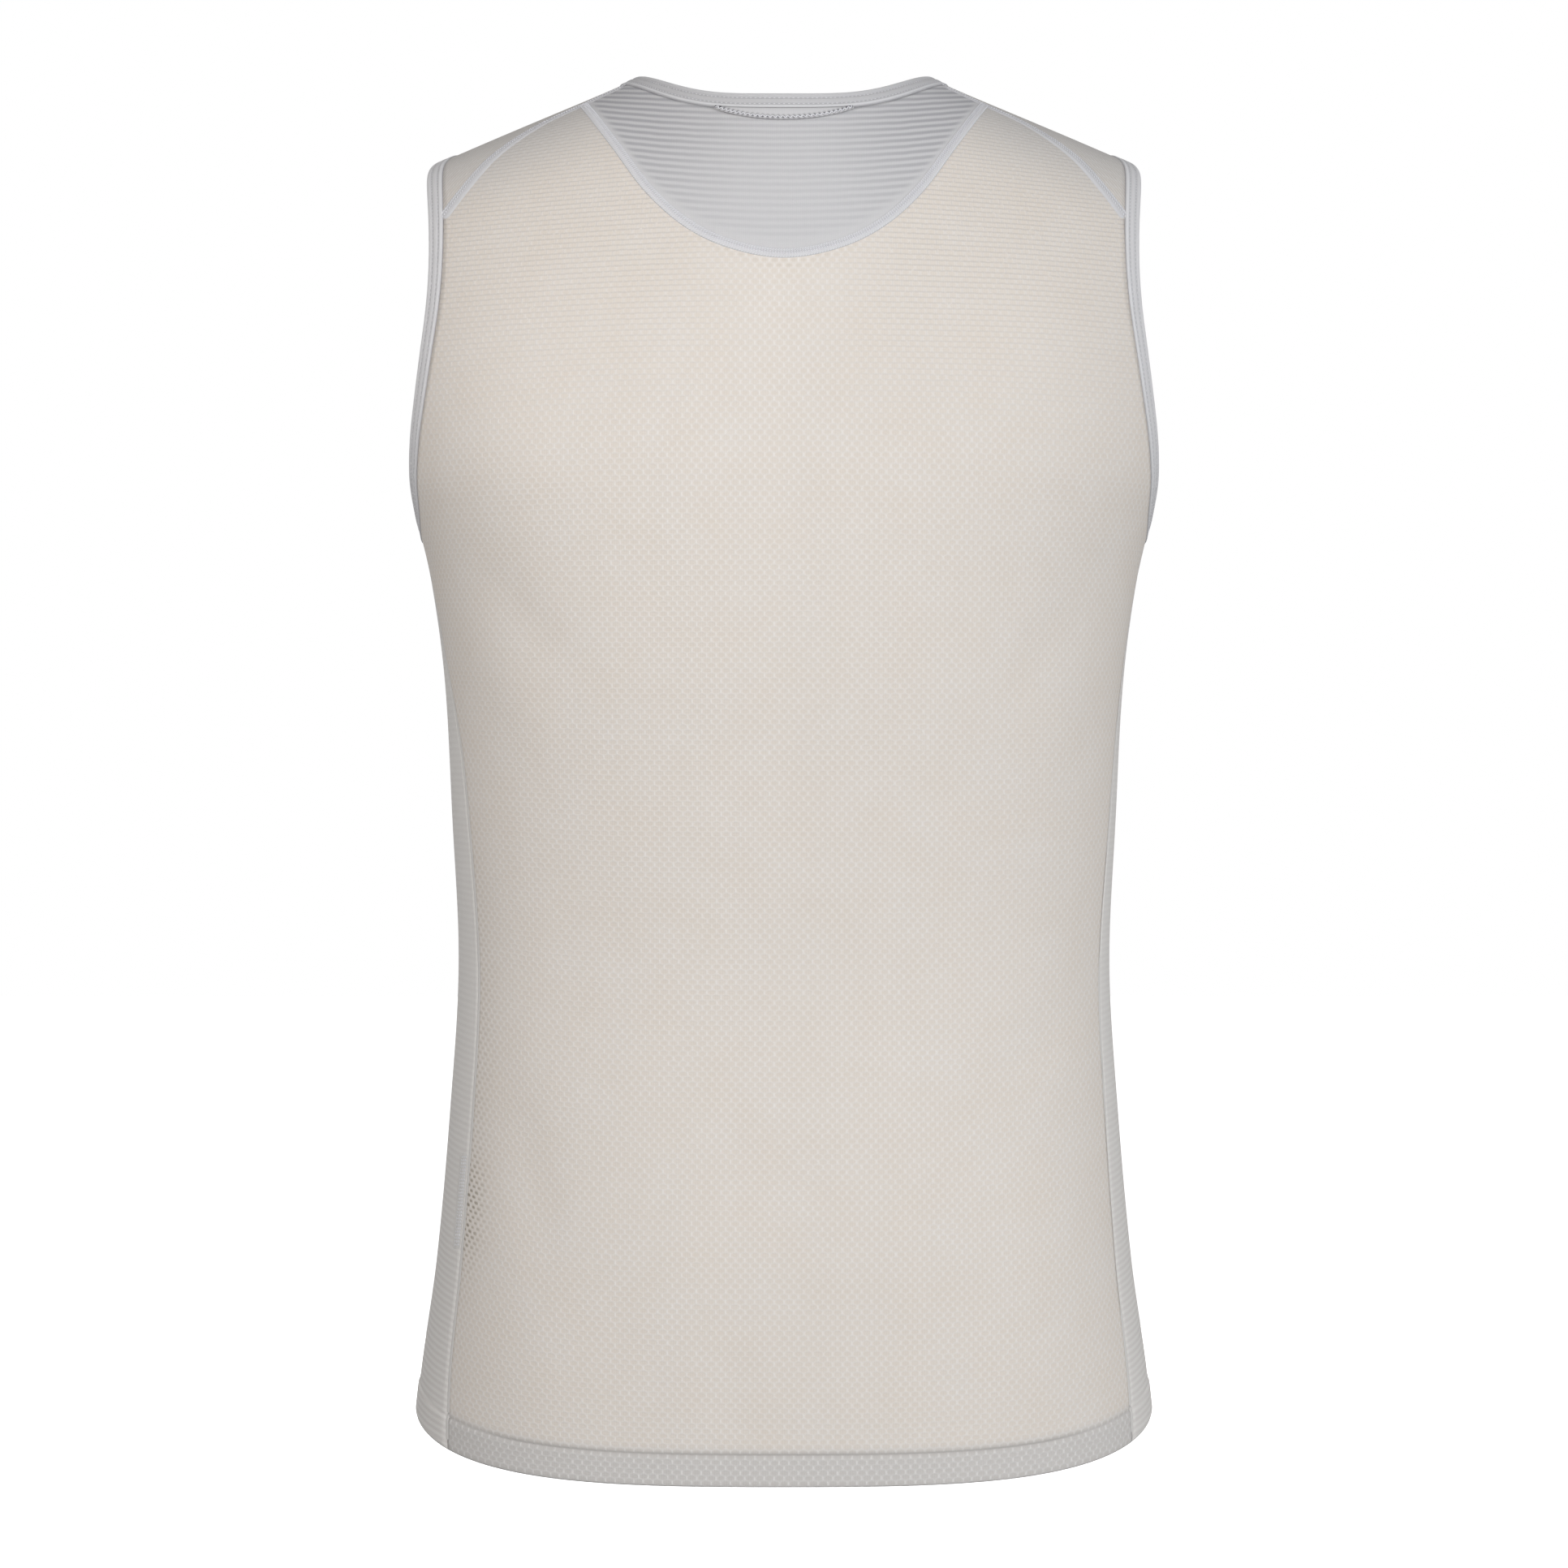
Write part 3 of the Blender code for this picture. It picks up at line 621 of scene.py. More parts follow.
def cloth_patch(name: str, points: Array, lay: Array, marks: dict[str, Array]) -> Piece:
    """A patch that faces out of the garment."""
    piece = patch(name, points, lay, marks)
    sample = piece.data.polygons[len(piece.data.polygons) // 2]
    if np.dot(sample.normal, FORM.outward(np.array(sample.center))) < 0:
        piece.data.flip_normals()
    return piece


def joined(name: str, parts: list[Piece]) -> Piece:
    """One welded piece of several."""
    select(*parts)
    bpy.ops.object.join()
    piece = bpy.context.object
    piece.name = name
    piece.data.name = name
    operate(piece, weld)
    return piece


def apply_modifier(piece: Piece, name: str) -> None:
    """Applies one of a piece's modifiers."""
    select(piece)
    bpy.ops.object.modifier_apply(modifier=name)


def walled(piece: Piece, wall: float, weights: Curve | None = None, thin: float = 1.0) -> None:
    """Gives a patch its wall.

    Args:
        piece: The patch.
        wall: The wall's thickness.
        weights: Gives a share of that thickness for points, from 0, where it is thin, to 1.
        thin: The thinnest wall, as a share of wall.
    """
    solid = piece.modifiers.new("wall", "SOLIDIFY")
    solid.thickness = wall
    solid.offset = 0.0
    solid.use_even_offset = True
    solid.use_quality_normals = True
    if weights:
        group = piece.vertex_groups.new(name="thick")
        places = np.array([vertex.co for vertex in piece.data.vertices])
        for index, weight in enumerate(weights(places)):
            group.add([index], float(weight), "REPLACE")
        solid.vertex_group = group.name
        solid.thickness_vertex_group = thin
    apply_modifier(piece, solid.name)
    piece.data.shade_smooth()


def even_places(curve: Curve, first: float, last: float, pitch: float, ends: bool = True) -> Array:
    """Places at even distances along a curve.

    Args:
        curve: The curve, by place.
        first: Its first place.
        last: Its last place.
        pitch: About how far apart they are.
        ends: Whether both ends are kept. Without them the places lie half a pitch inside.

    Returns:
        The places.
    """
    places = np.linspace(first, last, 600)
    points = curve(places)
    length = np.concatenate([[0.0], np.cumsum(np.linalg.norm(np.diff(points, axis=0), axis=-1))])
    count = max(round(length[-1] / pitch), 2)
    marks = np.linspace(0.0, length[-1], count + 1)
    if not ends:
        marks = (marks[:-1] + marks[1:]) / 2
    return np.interp(marks, length, places)


class Chart:
    """A node tree as it is drawn, with short calls for its nodes."""

    def __init__(self, tree: bpy.types.NodeTree) -> None:
        """Starts on an empty tree."""
        self.tree = tree
        tree.nodes.clear()

    def feed(self, socket: Socket, value: object) -> None:
        """Links an input to another node's output, or gives it a value."""
        if isinstance(value, Socket):
            self.tree.links.new(value, socket)
        else:
            socket.default_value = value

    def node(self, kind: str, inputs: dict | None = None, **settings: object) -> bpy.types.Node:
        """Adds a node.

        Args:
            kind: The node's type.
            inputs: Values or sockets for its inputs, by name or number.
            settings: Values for its own settings.

        Returns:
            The node.
        """
        node = self.tree.nodes.new(kind)
        for key, value in settings.items():
            setattr(node, key, value)
        for key, value in (inputs or {}).items():
            self.feed(node.inputs[key], value)
        return node

    def math(self, operation: str, *values: object, clamp: bool = False) -> Socket:
        """The result of a Math node."""
        node = self.node("ShaderNodeMath", dict(enumerate(values)), operation=operation, use_clamp=clamp)
        return node.outputs[0]

    def mix(self, factor: object, first: object, second: object, blend: str = "MIX") -> Socket:
        """A colour between two."""
        inputs = {0: factor, 6: first, 7: second}
        settings = {"data_type": "RGBA", "blend_type": blend, "clamp_factor": True}
        return self.node("ShaderNodeMix", inputs, **settings).outputs[2]

    def times(self, colour: object, tint: object) -> Socket:
        """A colour multiplied by a tint."""
        return self.mix(1.0, colour, tint, "MULTIPLY")

    def ramp(self, value: object, low: float, high: float, first: float = 0.0, last: float = 1.0) -> Socket:
        """A soft change from first to last as the value goes from low to high."""
        inputs = {0: value, 1: low, 2: high, 3: first, 4: last}
        return self.node("ShaderNodeMapRange", inputs, interpolation_type="SMOOTHSTEP").outputs[0]

    def noise(self, vector: object, scale: float, detail: float = 2.0, roughness: float = 0.5) -> Socket:
        """Soft noise from 0 to 1."""
        inputs = {"Vector": vector, "Scale": scale, "Detail": detail, "Roughness": roughness}
        return self.node("ShaderNodeTexNoise", inputs).outputs[0]

    def sway(self, vector: object, scale: float, detail: float = 2.0, roughness: float = 0.5) -> Socket:
        """Soft noise round 0."""
        return self.math("SUBTRACT", self.noise(vector, scale, detail, roughness), 0.5)

    def mark(self, name: str) -> Socket:
        """A value that the piece carries, by name."""
        return self.node("ShaderNodeAttribute", attribute_name=name).outputs["Fac"]

    def lay(self) -> Socket:
        """The piece's distances across and along the knit, in metres."""
        return self.node("ShaderNodeUVMap", uv_map="UVMap").outputs[0]

    def group(self, tree: bpy.types.NodeTree, inputs: dict) -> bpy.types.NodeOutputs:
        """The outputs of a shared node group."""
        return self.node("ShaderNodeGroup", inputs, node_tree=tree).outputs

    def grey(self, value: object, share: float, start: float = 1.0) -> Socket:
        """A grey that moves from start by a share of the value."""
        level = self.math("MULTIPLY_ADD", value, share, start)
        return self.node("ShaderNodeCombineColor", {0: level, 1: level, 2: level}).outputs[0]


def linear(red: int, green: int, blue: int) -> tuple[float, float, float, float]:
    """A screen colour, 0 to 255, as linear light."""
    shares = [value / 255 for value in (red, green, blue)]
    low, cut = 12.92, 0.04045
    light = [s / low if s <= cut else ((s + 0.055) / 1.055) ** 2.4 for s in shares]
    return (*light, 1.0)


def new_group(name: str, inputs: dict[str, str], outputs: dict[str, str]) -> tuple[Chart, dict, dict]:
    """A shader node group.

    Args:
        name: Its name.
        inputs: The types of its inputs, by name.
        outputs: The types of its outputs, by name.

    Returns:
        Its chart, its inputs' sockets and its outputs' sockets, by name.
    """
    tree = bpy.data.node_groups.new(name, "ShaderNodeTree")
    for label, kind in inputs.items():
        tree.interface.new_socket(label, in_out="INPUT", socket_type=kind)
    for label, kind in outputs.items():
        tree.interface.new_socket(label, in_out="OUTPUT", socket_type=kind)
    chart = Chart(tree)
    given = chart.node("NodeGroupInput").outputs
    taken = chart.node("NodeGroupOutput").inputs
    return chart, {label: given[label] for label in inputs}, {label: taken[label] for label in outputs}


FLOAT, VECTOR = "NodeSocketFloat", "NodeSocketVector"


@dataclass(frozen=True)
class CellShape:
    """The shape of a cell of the open knit, and of the ticks and rows between the cells.

    Sizes are shares of a cell's width and of a row's height, measured from the cell's middle. A pair
    says where a soft edge starts and ends.
    """

    sway: float = 0.0012
    sway_scale: float = 260.0
    half_width: float = 0.42
    half_height: float = 0.43
    side_power: float = 2.6
    top_power: float = 2.2
    uneven: float = 0.30
    cell_edge: tuple[float, float] = (1.60, 0.35)
    hole_edge: tuple[float, float] = (0.80, 0.05)
    row_edge: tuple[float, float] = (0.20, 0.50)
    tick_edge: tuple[float, float] = (0.36, 0.46)
    tick_end: tuple[float, float] = (0.50, 0.24)
    tick_height: float = 0.8
    broken_scale: float = 520.0
    broken_rows: tuple[float, float] = (0.12, 0.50)
    broken_ticks: tuple[float, float] = (0.75, 0.35)


class KnitGroups:
    """The node groups that the finishes share."""

    def __init__(self) -> None:
        """Makes each group once."""
        self.lattice = self.make_lattice(CellShape())
        self.grain = self.make_grain()
        self.mottle = self.make_mottle()

    def make_lattice(self, shape: CellShape) -> bpy.types.NodeTree:
        """Rows of small open cells, each row shifted by half a cell, with upright ticks between them."""
        given = {"Lay": VECTOR, "Cell Width": FLOAT, "Row Height": FLOAT}
        taken = dict.fromkeys(("Cell", "Tick", "Hole", "Row", "Height", "Chance"), FLOAT)
        chart, inputs, outputs = new_group("knit lattice", given, taken)
        math_, ramp = chart.math, chart.ramp
        lay = inputs["Lay"]
        sway = math_("MULTIPLY", chart.sway(lay, shape.sway_scale), shape.sway)
        split = chart.node("ShaderNodeSeparateXYZ", {0: lay}).outputs
        row = math_("DIVIDE", math_("MULTIPLY_ADD", sway, 0.5, split[1]), inputs["Row Height"])
        row_index = math_("FLOOR", row)
        shift = math_("MULTIPLY", math_("FLOORED_MODULO", row_index, 2.0), 0.5)
        column = math_("ADD", math_("DIVIDE", math_("ADD", split[0], sway), inputs["Cell Width"]), shift)
        beside, above = (
            math_("ABSOLUTE", math_("SUBTRACT", math_("FRACT", place), 0.5)) for place in (column, row)
        )
        key = chart.node("ShaderNodeCombineXYZ", {0: math_("FLOOR", column), 1: row_index}).outputs[0]
        chance = chart.node("ShaderNodeTexWhiteNoise", {"Vector": key}, noise_dimensions="2D").outputs[0]
        wide = math_("POWER", math_("DIVIDE", beside, shape.half_width), shape.side_power)
        tall = math_("POWER", math_("DIVIDE", above, shape.half_height), shape.top_power)
        reach = math_("MULTIPLY_ADD", chance, shape.uneven, math_("ADD", wide, tall))
        cell = ramp(reach, *shape.cell_edge)
        hole = ramp(reach, *shape.hole_edge)
        broken = chart.noise(lay, shape.broken_scale)
        between = math_("MULTIPLY", ramp(above, *shape.row_edge), ramp(broken, *shape.broken_rows))
        upright = math_("MULTIPLY", ramp(beside, *shape.tick_edge), ramp(broken, *shape.broken_ticks))
        tick = math_("MULTIPLY", upright, ramp(above, *shape.tick_end))
        height = math_("MULTIPLY_ADD", tick, shape.tick_height, math_("SUBTRACT", 1.0, cell))
        for label, value in zip(outputs, (cell, tick, hole, between, height, chance)):
            chart.feed(outputs[label], value)
        return chart.tree

    def make_grain(self) -> bpy.types.NodeTree:
        """Fine upright wales with the fuzz of the yarn."""
        given = {"Lay": VECTOR, "Wale Pitch": FLOAT}
        chart, inputs, outputs = new_group("yarn grain", given, {"Height": FLOAT, "Shade": FLOAT})
        split = chart.node("ShaderNodeSeparateXYZ", {0: inputs["Lay"]}).outputs
        turns = [chart.math("DIVIDE", split[axis], inputs["Wale Pitch"]) for axis in (0, 1)]
        rates = 2 * math.pi, 2.6 * math.pi
        wales, loops = (
            chart.math("SINE", chart.math("MULTIPLY", turn, rate)) for turn, rate in zip(turns, rates)
        )
        fuzz = chart.noise(inputs["Lay"], 2600.0, 3.0, 0.65)
        height = chart.math("MULTIPLY_ADD", loops, 0.15, chart.math("MULTIPLY", wales, 0.3))
        chart.feed(outputs["Height"], chart.math("ADD", height, fuzz))
        chart.feed(outputs["Shade"], chart.math("MULTIPLY_ADD", wales, 0.12, fuzz))
        return chart.tree

    def make_mottle(self) -> bpy.types.NodeTree:
        """Soft uneven patches of the dyed yarn, as values round 0."""
        chart, inputs, outputs = new_group("dye mottle", {"Lay": VECTOR}, {"Warm": FLOAT, "Light": FLOAT})
        chart.feed(outputs["Warm"], chart.sway(inputs["Lay"], 46.0, 3.0))
        chart.feed(outputs["Light"], chart.sway(inputs["Lay"], 21.0, 4.0, 0.6))
        return chart.tree


def new_material(name: str) -> tuple[bpy.types.Material, Chart, bpy.types.Node]:
    """A material with a Principled shader.

    Args:
        name: The material's name.

    Returns:
        The material, its chart and its shader.
    """
    material = bpy.data.materials.new(name)
    material.use_nodes = True
    chart = Chart(material.node_tree)
    shader = chart.node("ShaderNodeBsdfPrincipled")
    chart.node("ShaderNodeOutputMaterial", {"Surface": shader.outputs[0]})
    return material, chart, shader


@dataclass(frozen=True, kw_only=True)
class Finish:
    """How a knit or a thread takes the light, and how deep its pattern is pressed in."""

    roughness: float = 0.92
    specular: float = 0.08
    sheen: float = 0.03
    sheen_roughness: float = 0.6
    depth: float = 0.00012
    bump: float = 0.5

    def material(self, name: str, groups: KnitGroups) -> bpy.types.Material:
        """The finish as a material."""
        material, chart, shader = new_material(name)
        colour, height = self.pattern(chart, groups)
        chart.feed(shader.inputs["Base Color"], colour)
        shader.inputs["Roughness"].default_value = self.roughness
        shader.inputs["Specular IOR Level"].default_value = self.specular
        shader.inputs["Sheen Weight"].default_value = self.sheen
        shader.inputs["Sheen Roughness"].default_value = self.sheen_roughness
        pressed = {"Height": height, "Distance": self.depth, "Strength": self.bump}
        chart.feed(shader.inputs["Normal"], chart.node("ShaderNodeBump", pressed).outputs[0])
        return material

    def pattern(self, chart: Chart, groups: KnitGroups) -> tuple[Socket, Socket]:
        """The finish's colour and height. Each finish draws its own."""
        raise NotImplementedError


@dataclass(frozen=True, kw_only=True)
class MeshKnit(Finish):
    """The open two-tone knit of the back and front.

    It reads four marks: cool, where the knit is tighter and greyer at the hem and painted darker as
    shade over the shoulder ridge, opened, where its cells are drawn open and painted dark with the
    shade seen through them, line, the painted shadow in the groove of the hem's stitches, and brick,
    where the rows show more than the cells. Its upright ticks are painted brighter as a highlight.
    """

    yarn: tuple = linear(231, 226, 222)
    cell: tuple = linear(225, 218, 211)
    # Upright ticks: the yarn's pale segments, painted brighter as a highlight.
    tick: tuple = linear(243, 241, 240)
    brick: tuple = linear(217, 214, 212)
    # Greyer knit at the hem, also used as painted shade over the shoulder ridge.
    cool_yarn: tuple = linear(213, 210, 208)
    cool_cell: tuple = linear(205, 201, 198)
    # Painted shade seen through the cells where they are drawn open.
    hole: tuple = linear(168, 161, 151)
    # Painted shadow in the groove of the hem's stitches.
    line: tuple = linear(176, 172, 169)
    warm: tuple = linear(248, 241, 232)
    cell_width: float = 0.00442
    row_height: float = 0.00235
    wale_pitch: float = 0.0011
    tick_share: float = 0.55
    tick_loss: float = 1.4
    joint_share: float = 0.6
    grain_share: float = 0.10
    grain_grey: float = 0.950
    warm_share: float = 0.25
    light_share: float = 0.014
    hole_depth: float = -2.0
    grain_height: float = 0.35

    def pattern(self, chart: Chart, groups: KnitGroups) -> tuple[Socket, Socket]:
        """The knit's colour and height."""
        lay = chart.lay()
        pitches = {"Lay": lay, "Cell Width": self.cell_width, "Row Height": self.row_height}
        lattice = chart.group(groups.lattice, pitches)
        mottle = chart.group(groups.mottle, {"Lay": lay})
        grain = chart.group(groups.grain, {"Lay": lay, "Wale Pitch": self.wale_pitch})
        cool, opened, line, brick = (chart.mark(name) for name in ("cool", "opened", "line", "brick"))
        # Greyer at the hem, and painted shade over the shoulder ridge.
        yarn = chart.mix(cool, self.yarn, self.cool_yarn)
        cell = chart.mix(cool, self.cell, self.cool_cell)
        uneven = chart.math("MULTIPLY_ADD", lattice["Chance"], 0.35, 0.75, clamp=True)
        colour = chart.mix(chart.math("MULTIPLY", lattice["Cell"], uneven), yarn, cell)
        # Painted highlight on the upright ticks, weaker where the rows show.
        loss = -self.tick_loss * self.tick_share
        bright = chart.math("MULTIPLY_ADD", brick, loss, self.tick_share, clamp=True)
        colour = chart.mix(chart.math("MULTIPLY", lattice["Tick"], bright), colour, self.tick)
        joints = chart.math("MULTIPLY_ADD", lattice["Tick"], self.joint_share, lattice["Row"], clamp=True)
        colour = chart.mix(chart.math("MULTIPLY", joints, brick), colour, chart.times(colour, self.brick))
        # Painted shade seen through the cells drawn open.
        mask = chart.math("MULTIPLY", lattice["Hole"], opened)
        colour = chart.mix(mask, colour, self.hole)
        colour = chart.times(colour, chart.grey(grain["Shade"], self.grain_share, self.grain_grey))
        warm = chart.math("MULTIPLY_ADD", mottle["Warm"], 2 * self.warm_share, self.warm_share, clamp=True)
        warm = chart.math("MULTIPLY", warm, chart.math("SUBTRACT", 1.0, cool))
        colour = chart.mix(warm, colour, chart.times(colour, self.warm))
        colour = chart.times(colour, chart.grey(mottle["Light"], self.light_share))
        height = chart.math("MULTIPLY_ADD", mask, self.hole_depth, lattice["Height"])
        height = chart.math("MULTIPLY_ADD", grain["Height"], self.grain_height, height)
        # The hem's stitch line, painted dark as the shadow in its groove.
        return chart.mix(line, colour, self.line), height


@dataclass(frozen=True, kw_only=True)
class StripedKnit(Finish):
    """The fine-striped knit of the yoke and the side panels. The mark bold says how strong it is."""

    light: tuple = linear(207, 206, 208)
    dark: tuple = linear(175, 174, 179)
    pitch: float = 0.0032
    slant: float = 0.0
    wander: float = 0.0006
    wale_pitch: float = 0.0009
    grain_share: float = 0.14
    grain_grey: float = 0.93
    stripe_depth: float = -0.8
    bump: float = 0.6

    def pattern(self, chart: Chart, groups: KnitGroups) -> tuple[Socket, Socket]:
        """The stripes' colour and height."""
        lay = chart.lay()
        grain = chart.group(groups.grain, {"Lay": lay, "Wale Pitch": self.wale_pitch})
        split = chart.node("ShaderNodeSeparateXYZ", {0: lay}).outputs
        along = chart.math("MULTIPLY_ADD", split[0], self.slant, split[1])
        along = chart.math("MULTIPLY_ADD", chart.sway(lay, 90.0), self.wander, along)
        wave = chart.math("SINE", chart.math("MULTIPLY", along, 2 * math.pi / self.pitch))
        stripe = chart.math("MULTIPLY", chart.ramp(wave, -1.0, 1.0), chart.mark("bold"))
        colour = chart.mix(stripe, self.light, self.dark)
        colour = chart.times(colour, chart.grey(grain["Shade"], self.grain_share, self.grain_grey))
        return colour, chart.math("MULTIPLY_ADD", stripe, self.stripe_depth, grain["Height"])


@dataclass(frozen=True, kw_only=True)
class SmoothJersey(Finish):
    """The smooth jersey of the bindings and the tab.

    The marks low and rim say where it is pressed in by stitches and where it turns over: low is
    shade painted into the grooves and along the edges, and rim a highlight painted on the turned edges.
    """

    colour: tuple
    shadow: tuple
    # Painted shade for grooves and edges, and a painted highlight for turned edges.
    low: tuple
    rim: tuple = linear(234, 234, 237)
    wale_pitch: float = 0.0008
    mottle_share: float = 1.2
    depth: float = 0.00006
    bump: float = 0.4

    def pattern(self, chart: Chart, groups: KnitGroups) -> tuple[Socket, Socket]:
        """The jersey's colour and height."""
        lay = chart.lay()
        grain = chart.group(groups.grain, {"Lay": lay, "Wale Pitch": self.wale_pitch})
        mottle = chart.group(groups.mottle, {"Lay": lay})
        worn = chart.math("MULTIPLY_ADD", mottle["Light"], self.mottle_share, grain["Shade"], clamp=True)
        colour = chart.mix(worn, self.shadow, self.colour)
        # Painted shade, then a painted highlight.
        colour = chart.mix(chart.mark("low"), colour, self.low)
        return chart.mix(chart.mark("rim"), colour, self.rim), grain["Height"]


@dataclass(frozen=True, kw_only=True)
class Thread(Finish):
    """Sewing thread, with its twist."""

    colour: tuple = linear(238, 238, 242)
    shadow: tuple = linear(220, 220, 226)
    twist: float = 0.0004
    roughness: float = 0.75
    specular: float = 0.2
    depth: float = 0.00003
    bump: float = 0.4

    def pattern(self, chart: Chart, groups: KnitGroups) -> tuple[Socket, Socket]:
        """The thread's colour and height."""
        grain = chart.group(groups.grain, {"Lay": chart.lay(), "Wale Pitch": self.twist})
        return chart.mix(grain["Shade"], self.shadow, self.colour), grain["Height"]


Jersey = namedtuple("Jersey", "name colour shadow low")


@dataclass
class Wardrobe:
    """Every finish of the garment, made once."""

    made: dict[str, bpy.types.Material]

    @classmethod
    def filled(cls) -> "Wardrobe":
        """The wardrobe with all its finishes."""
        groups = KnitGroups()
        side_knit = {"light": linear(230, 227, 224), "dark": linear(221, 217, 214), "pitch": 0.0031}
        finishes = {
            "mesh knit": MeshKnit(),
            "yoke knit": StripedKnit(),
            "side knit": StripedKnit(**side_knit, slant=0.065),
            "thread": Thread(),
            "soft thread": Thread(colour=linear(226, 225, 228), shadow=linear(213, 212, 215)),
        }
        # The low tones are painted shade. The neck and armhole bindings are one jersey, painted darker at
        # the neck and lighter at the armholes for how the light falls on each.
        jerseys = (
            Jersey("side band", (226, 223, 220), (216, 213, 210), (207, 204, 201)),
            Jersey("binding knit", (204, 203, 205), (195, 194, 197), (150, 150, 156)),
            Jersey("arm binding", (219, 218, 220), (209, 208, 210), (150, 150, 156)),
            Jersey("tab knit", (214, 213, 215), (205, 204, 207), (84, 84, 90)),
            Jersey("seam band", (214, 213, 216), (205, 204, 207), (182, 181, 185)),
        )
        for name, *tones in jerseys:
            colour, shadow, low = (linear(*tone) for tone in tones)
            finishes[name] = SmoothJersey(colour=colour, shadow=shadow, low=low)
        return cls({name: finish.material(name, groups) for name, finish in finishes.items()})

    def dress(self, piece: Piece, name: str, slot: str) -> None:
        """Gives a piece its finish and its body, and logs it."""
        piece.data.materials.clear()
        piece.data.materials.append(self.made[name])
        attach(piece, BODY)
        log.info("%s: %d faces in %s", piece.name, len(piece.data.polygons), name)


class Side(Enum):
    """The wearer's sides."""

    LEFT = 1
    RIGHT = -1

    @property
    def word(self) -> str:
        """The side's name."""
        return self.name.lower()

    def placed(self, points: Array) -> Array:
        """Points of the left half, on this side."""
        return points * np.array((self.value, 1.0, 1.0))

    def laid(self, lay: Array) -> Array:
        """Distances across and up of the left half, on this side."""
        return lay * np.array((self.value, 1.0))


def row_between(start: Array, end: Array, count: int) -> Array:
    """count + 1 spots from start to end."""
    return start + (end - start) * np.linspace(0.0, 1.0, count + 1)[:, None]


@dataclass
class Panels:
    """The cloth panels of one half: their grids of spots, worked out on the left."""

    side: Side
    seam_gap: float = 0.0003
    columns: int = 60
    yoke_foot: int = 30
    neck_foot: int = 18
    chest_rows: int = 44
    strap_rows: int = 44
    skirt_rows: int = 112
    hem_rows: int = 26
    side_columns: int = 26
    yoke_rows: int = 36
    bent_share: float = 0.5
    yoke_break: float = 0.050
    neck_break: float = 145.0
    hem_zone: float = 0.022

    def __post_init__(self) -> None:
        """Finds where the seams meet."""
        self.back_column = "back_" + self.side.word
        self.neck_seam = root(self.above_seam(FORM.neck_line), 40.0, 89.0)
        self.arm_seam = root(self.above_seam(FORM.armhole_line), 5.0, 80.0)
        self.yoke_turns = np.linspace(0.0, self.neck_seam, self.yoke_foot + self.strap_rows + 1)
        neck_foot = np.linspace(180.0, self.neck_break, self.neck_foot + 1)
        neck_rise = np.linspace(self.neck_break, self.neck_seam, self.strap_rows + 1)
        self.neck_turns = np.concatenate([neck_foot, neck_rise[1:]])
        back_break = FORM.spot_of(FORM.yoke_seam(np.array(self.yoke_break)))[1]
        front_break = FORM.spot_of(FORM.neck_line(np.array(self.neck_break)))[1]
        back_shoulder = self.arm_turn_at(back_break, 20.0, 120.0)
        front_shoulder = self.arm_turn_at(front_break, 240.0, 350.0)
        gap = self.seam_gap / 2
        back_corner = self.corner_turn(self.back_column, gap)
        front_corner = self.corner_turn("front", gap)
        self.back_chest = np.linspace(back_corner, back_shoulder, self.chest_rows + 1)
        self.back_strap = np.linspace(back_shoulder, self.arm_seam, self.strap_rows + 1)
        self.front_chest = np.linspace(front_corner, front_shoulder, self.chest_rows + 1)
        self.front_strap = np.linspace(front_shoulder, 360.0 + self.arm_seam, self.strap_rows + 1)
        side_ends = self.corner_turn(self.back_column, -gap), self.corner_turn("front", -gap)
        self.side_turns = np.linspace(*side_ends, self.side_columns + 1)

    def above_seam(self, line: Curve) -> Callable[[Array], Array]:
        """Tells how far a line lies below the shoulder seam, by its turn."""

        def above(turns: Array) -> Array:
            """The distance at each turn."""
            points = line(turns)
            return FORM.shoulder_seam(points[:, 0])[:, 2] - points[:, 2]

        return above

    def arm_turn_at(self, level: float, low: float, high: float) -> float:
        """The armhole's turn, from low to high, where the binding's outer edge is at a level."""
        return root(lambda turns: self.arm_spots(turns)[:, 1] - level, low, high)

    def corner_turn(self, column: str, past: float) -> float:
        """The armhole's turn where a side seam meets the binding's outer edge."""
        facing = -1 if column == "front" else 1

        def beyond(turns: Array) -> Array:
            """How far the edge lies beyond the seam."""
            points = FORM.armhole_line(turns, self.seam_gap)
            return facing * points[:, 1] - side_seam_place(points, column) - past

        return root(beyond, 180.0, 270.0 if facing < 0 else 90.0)

    def skirt_levels(self, top: float) -> Array:
        """Levels from the hem to the top, close together at the hem."""
        close = 2.0 - self.hem_zone / (FORM.hem_side + FORM.tail_drop / 2 - FORM.underarm)
        foot = np.linspace(2.0, close, self.hem_rows + 1)
        return np.concatenate([foot, np.linspace(close, top, self.skirt_rows + 1)[1:]])

    def ruled(self, inner: Array, outer: Array, count: int, top: Array | None = None) -> Array:
        """Rows of spots between two edges.

        Args:
            inner: The inner edge's spots, from the foot up.
            outer: The outer edge's spots.
            count: Columns between them.
            top: Spots of the top edge, which the upper rows bend to meet.

        Returns:
            The rows of spots.
        """
        shares = np.linspace(0.0, 1.0, count + 1)[None, :, None]
        rows = inner[:, None] + (outer - inner)[:, None] * shares
        if top is not None:
            height = np.linspace(0.0, 1.0, len(rows))
            weight = smooth_step((height - 1.0 + self.bent_share) / self.bent_share)
            rows = rows + (top - rows[-1])[None] * weight[:, None, None]
        return rows

    def arm_spots(self, turns: Array) -> Array:
        """Spots along the armhole binding's outer edge."""
        return FORM.spot_of(FORM.armhole_line(turns, self.seam_gap))

    def neck_spots(self, turns: Array) -> Array:
        """Spots along the neck binding's outer edge."""
        return FORM.spot_of(FORM.neck_line(turns, self.seam_gap))

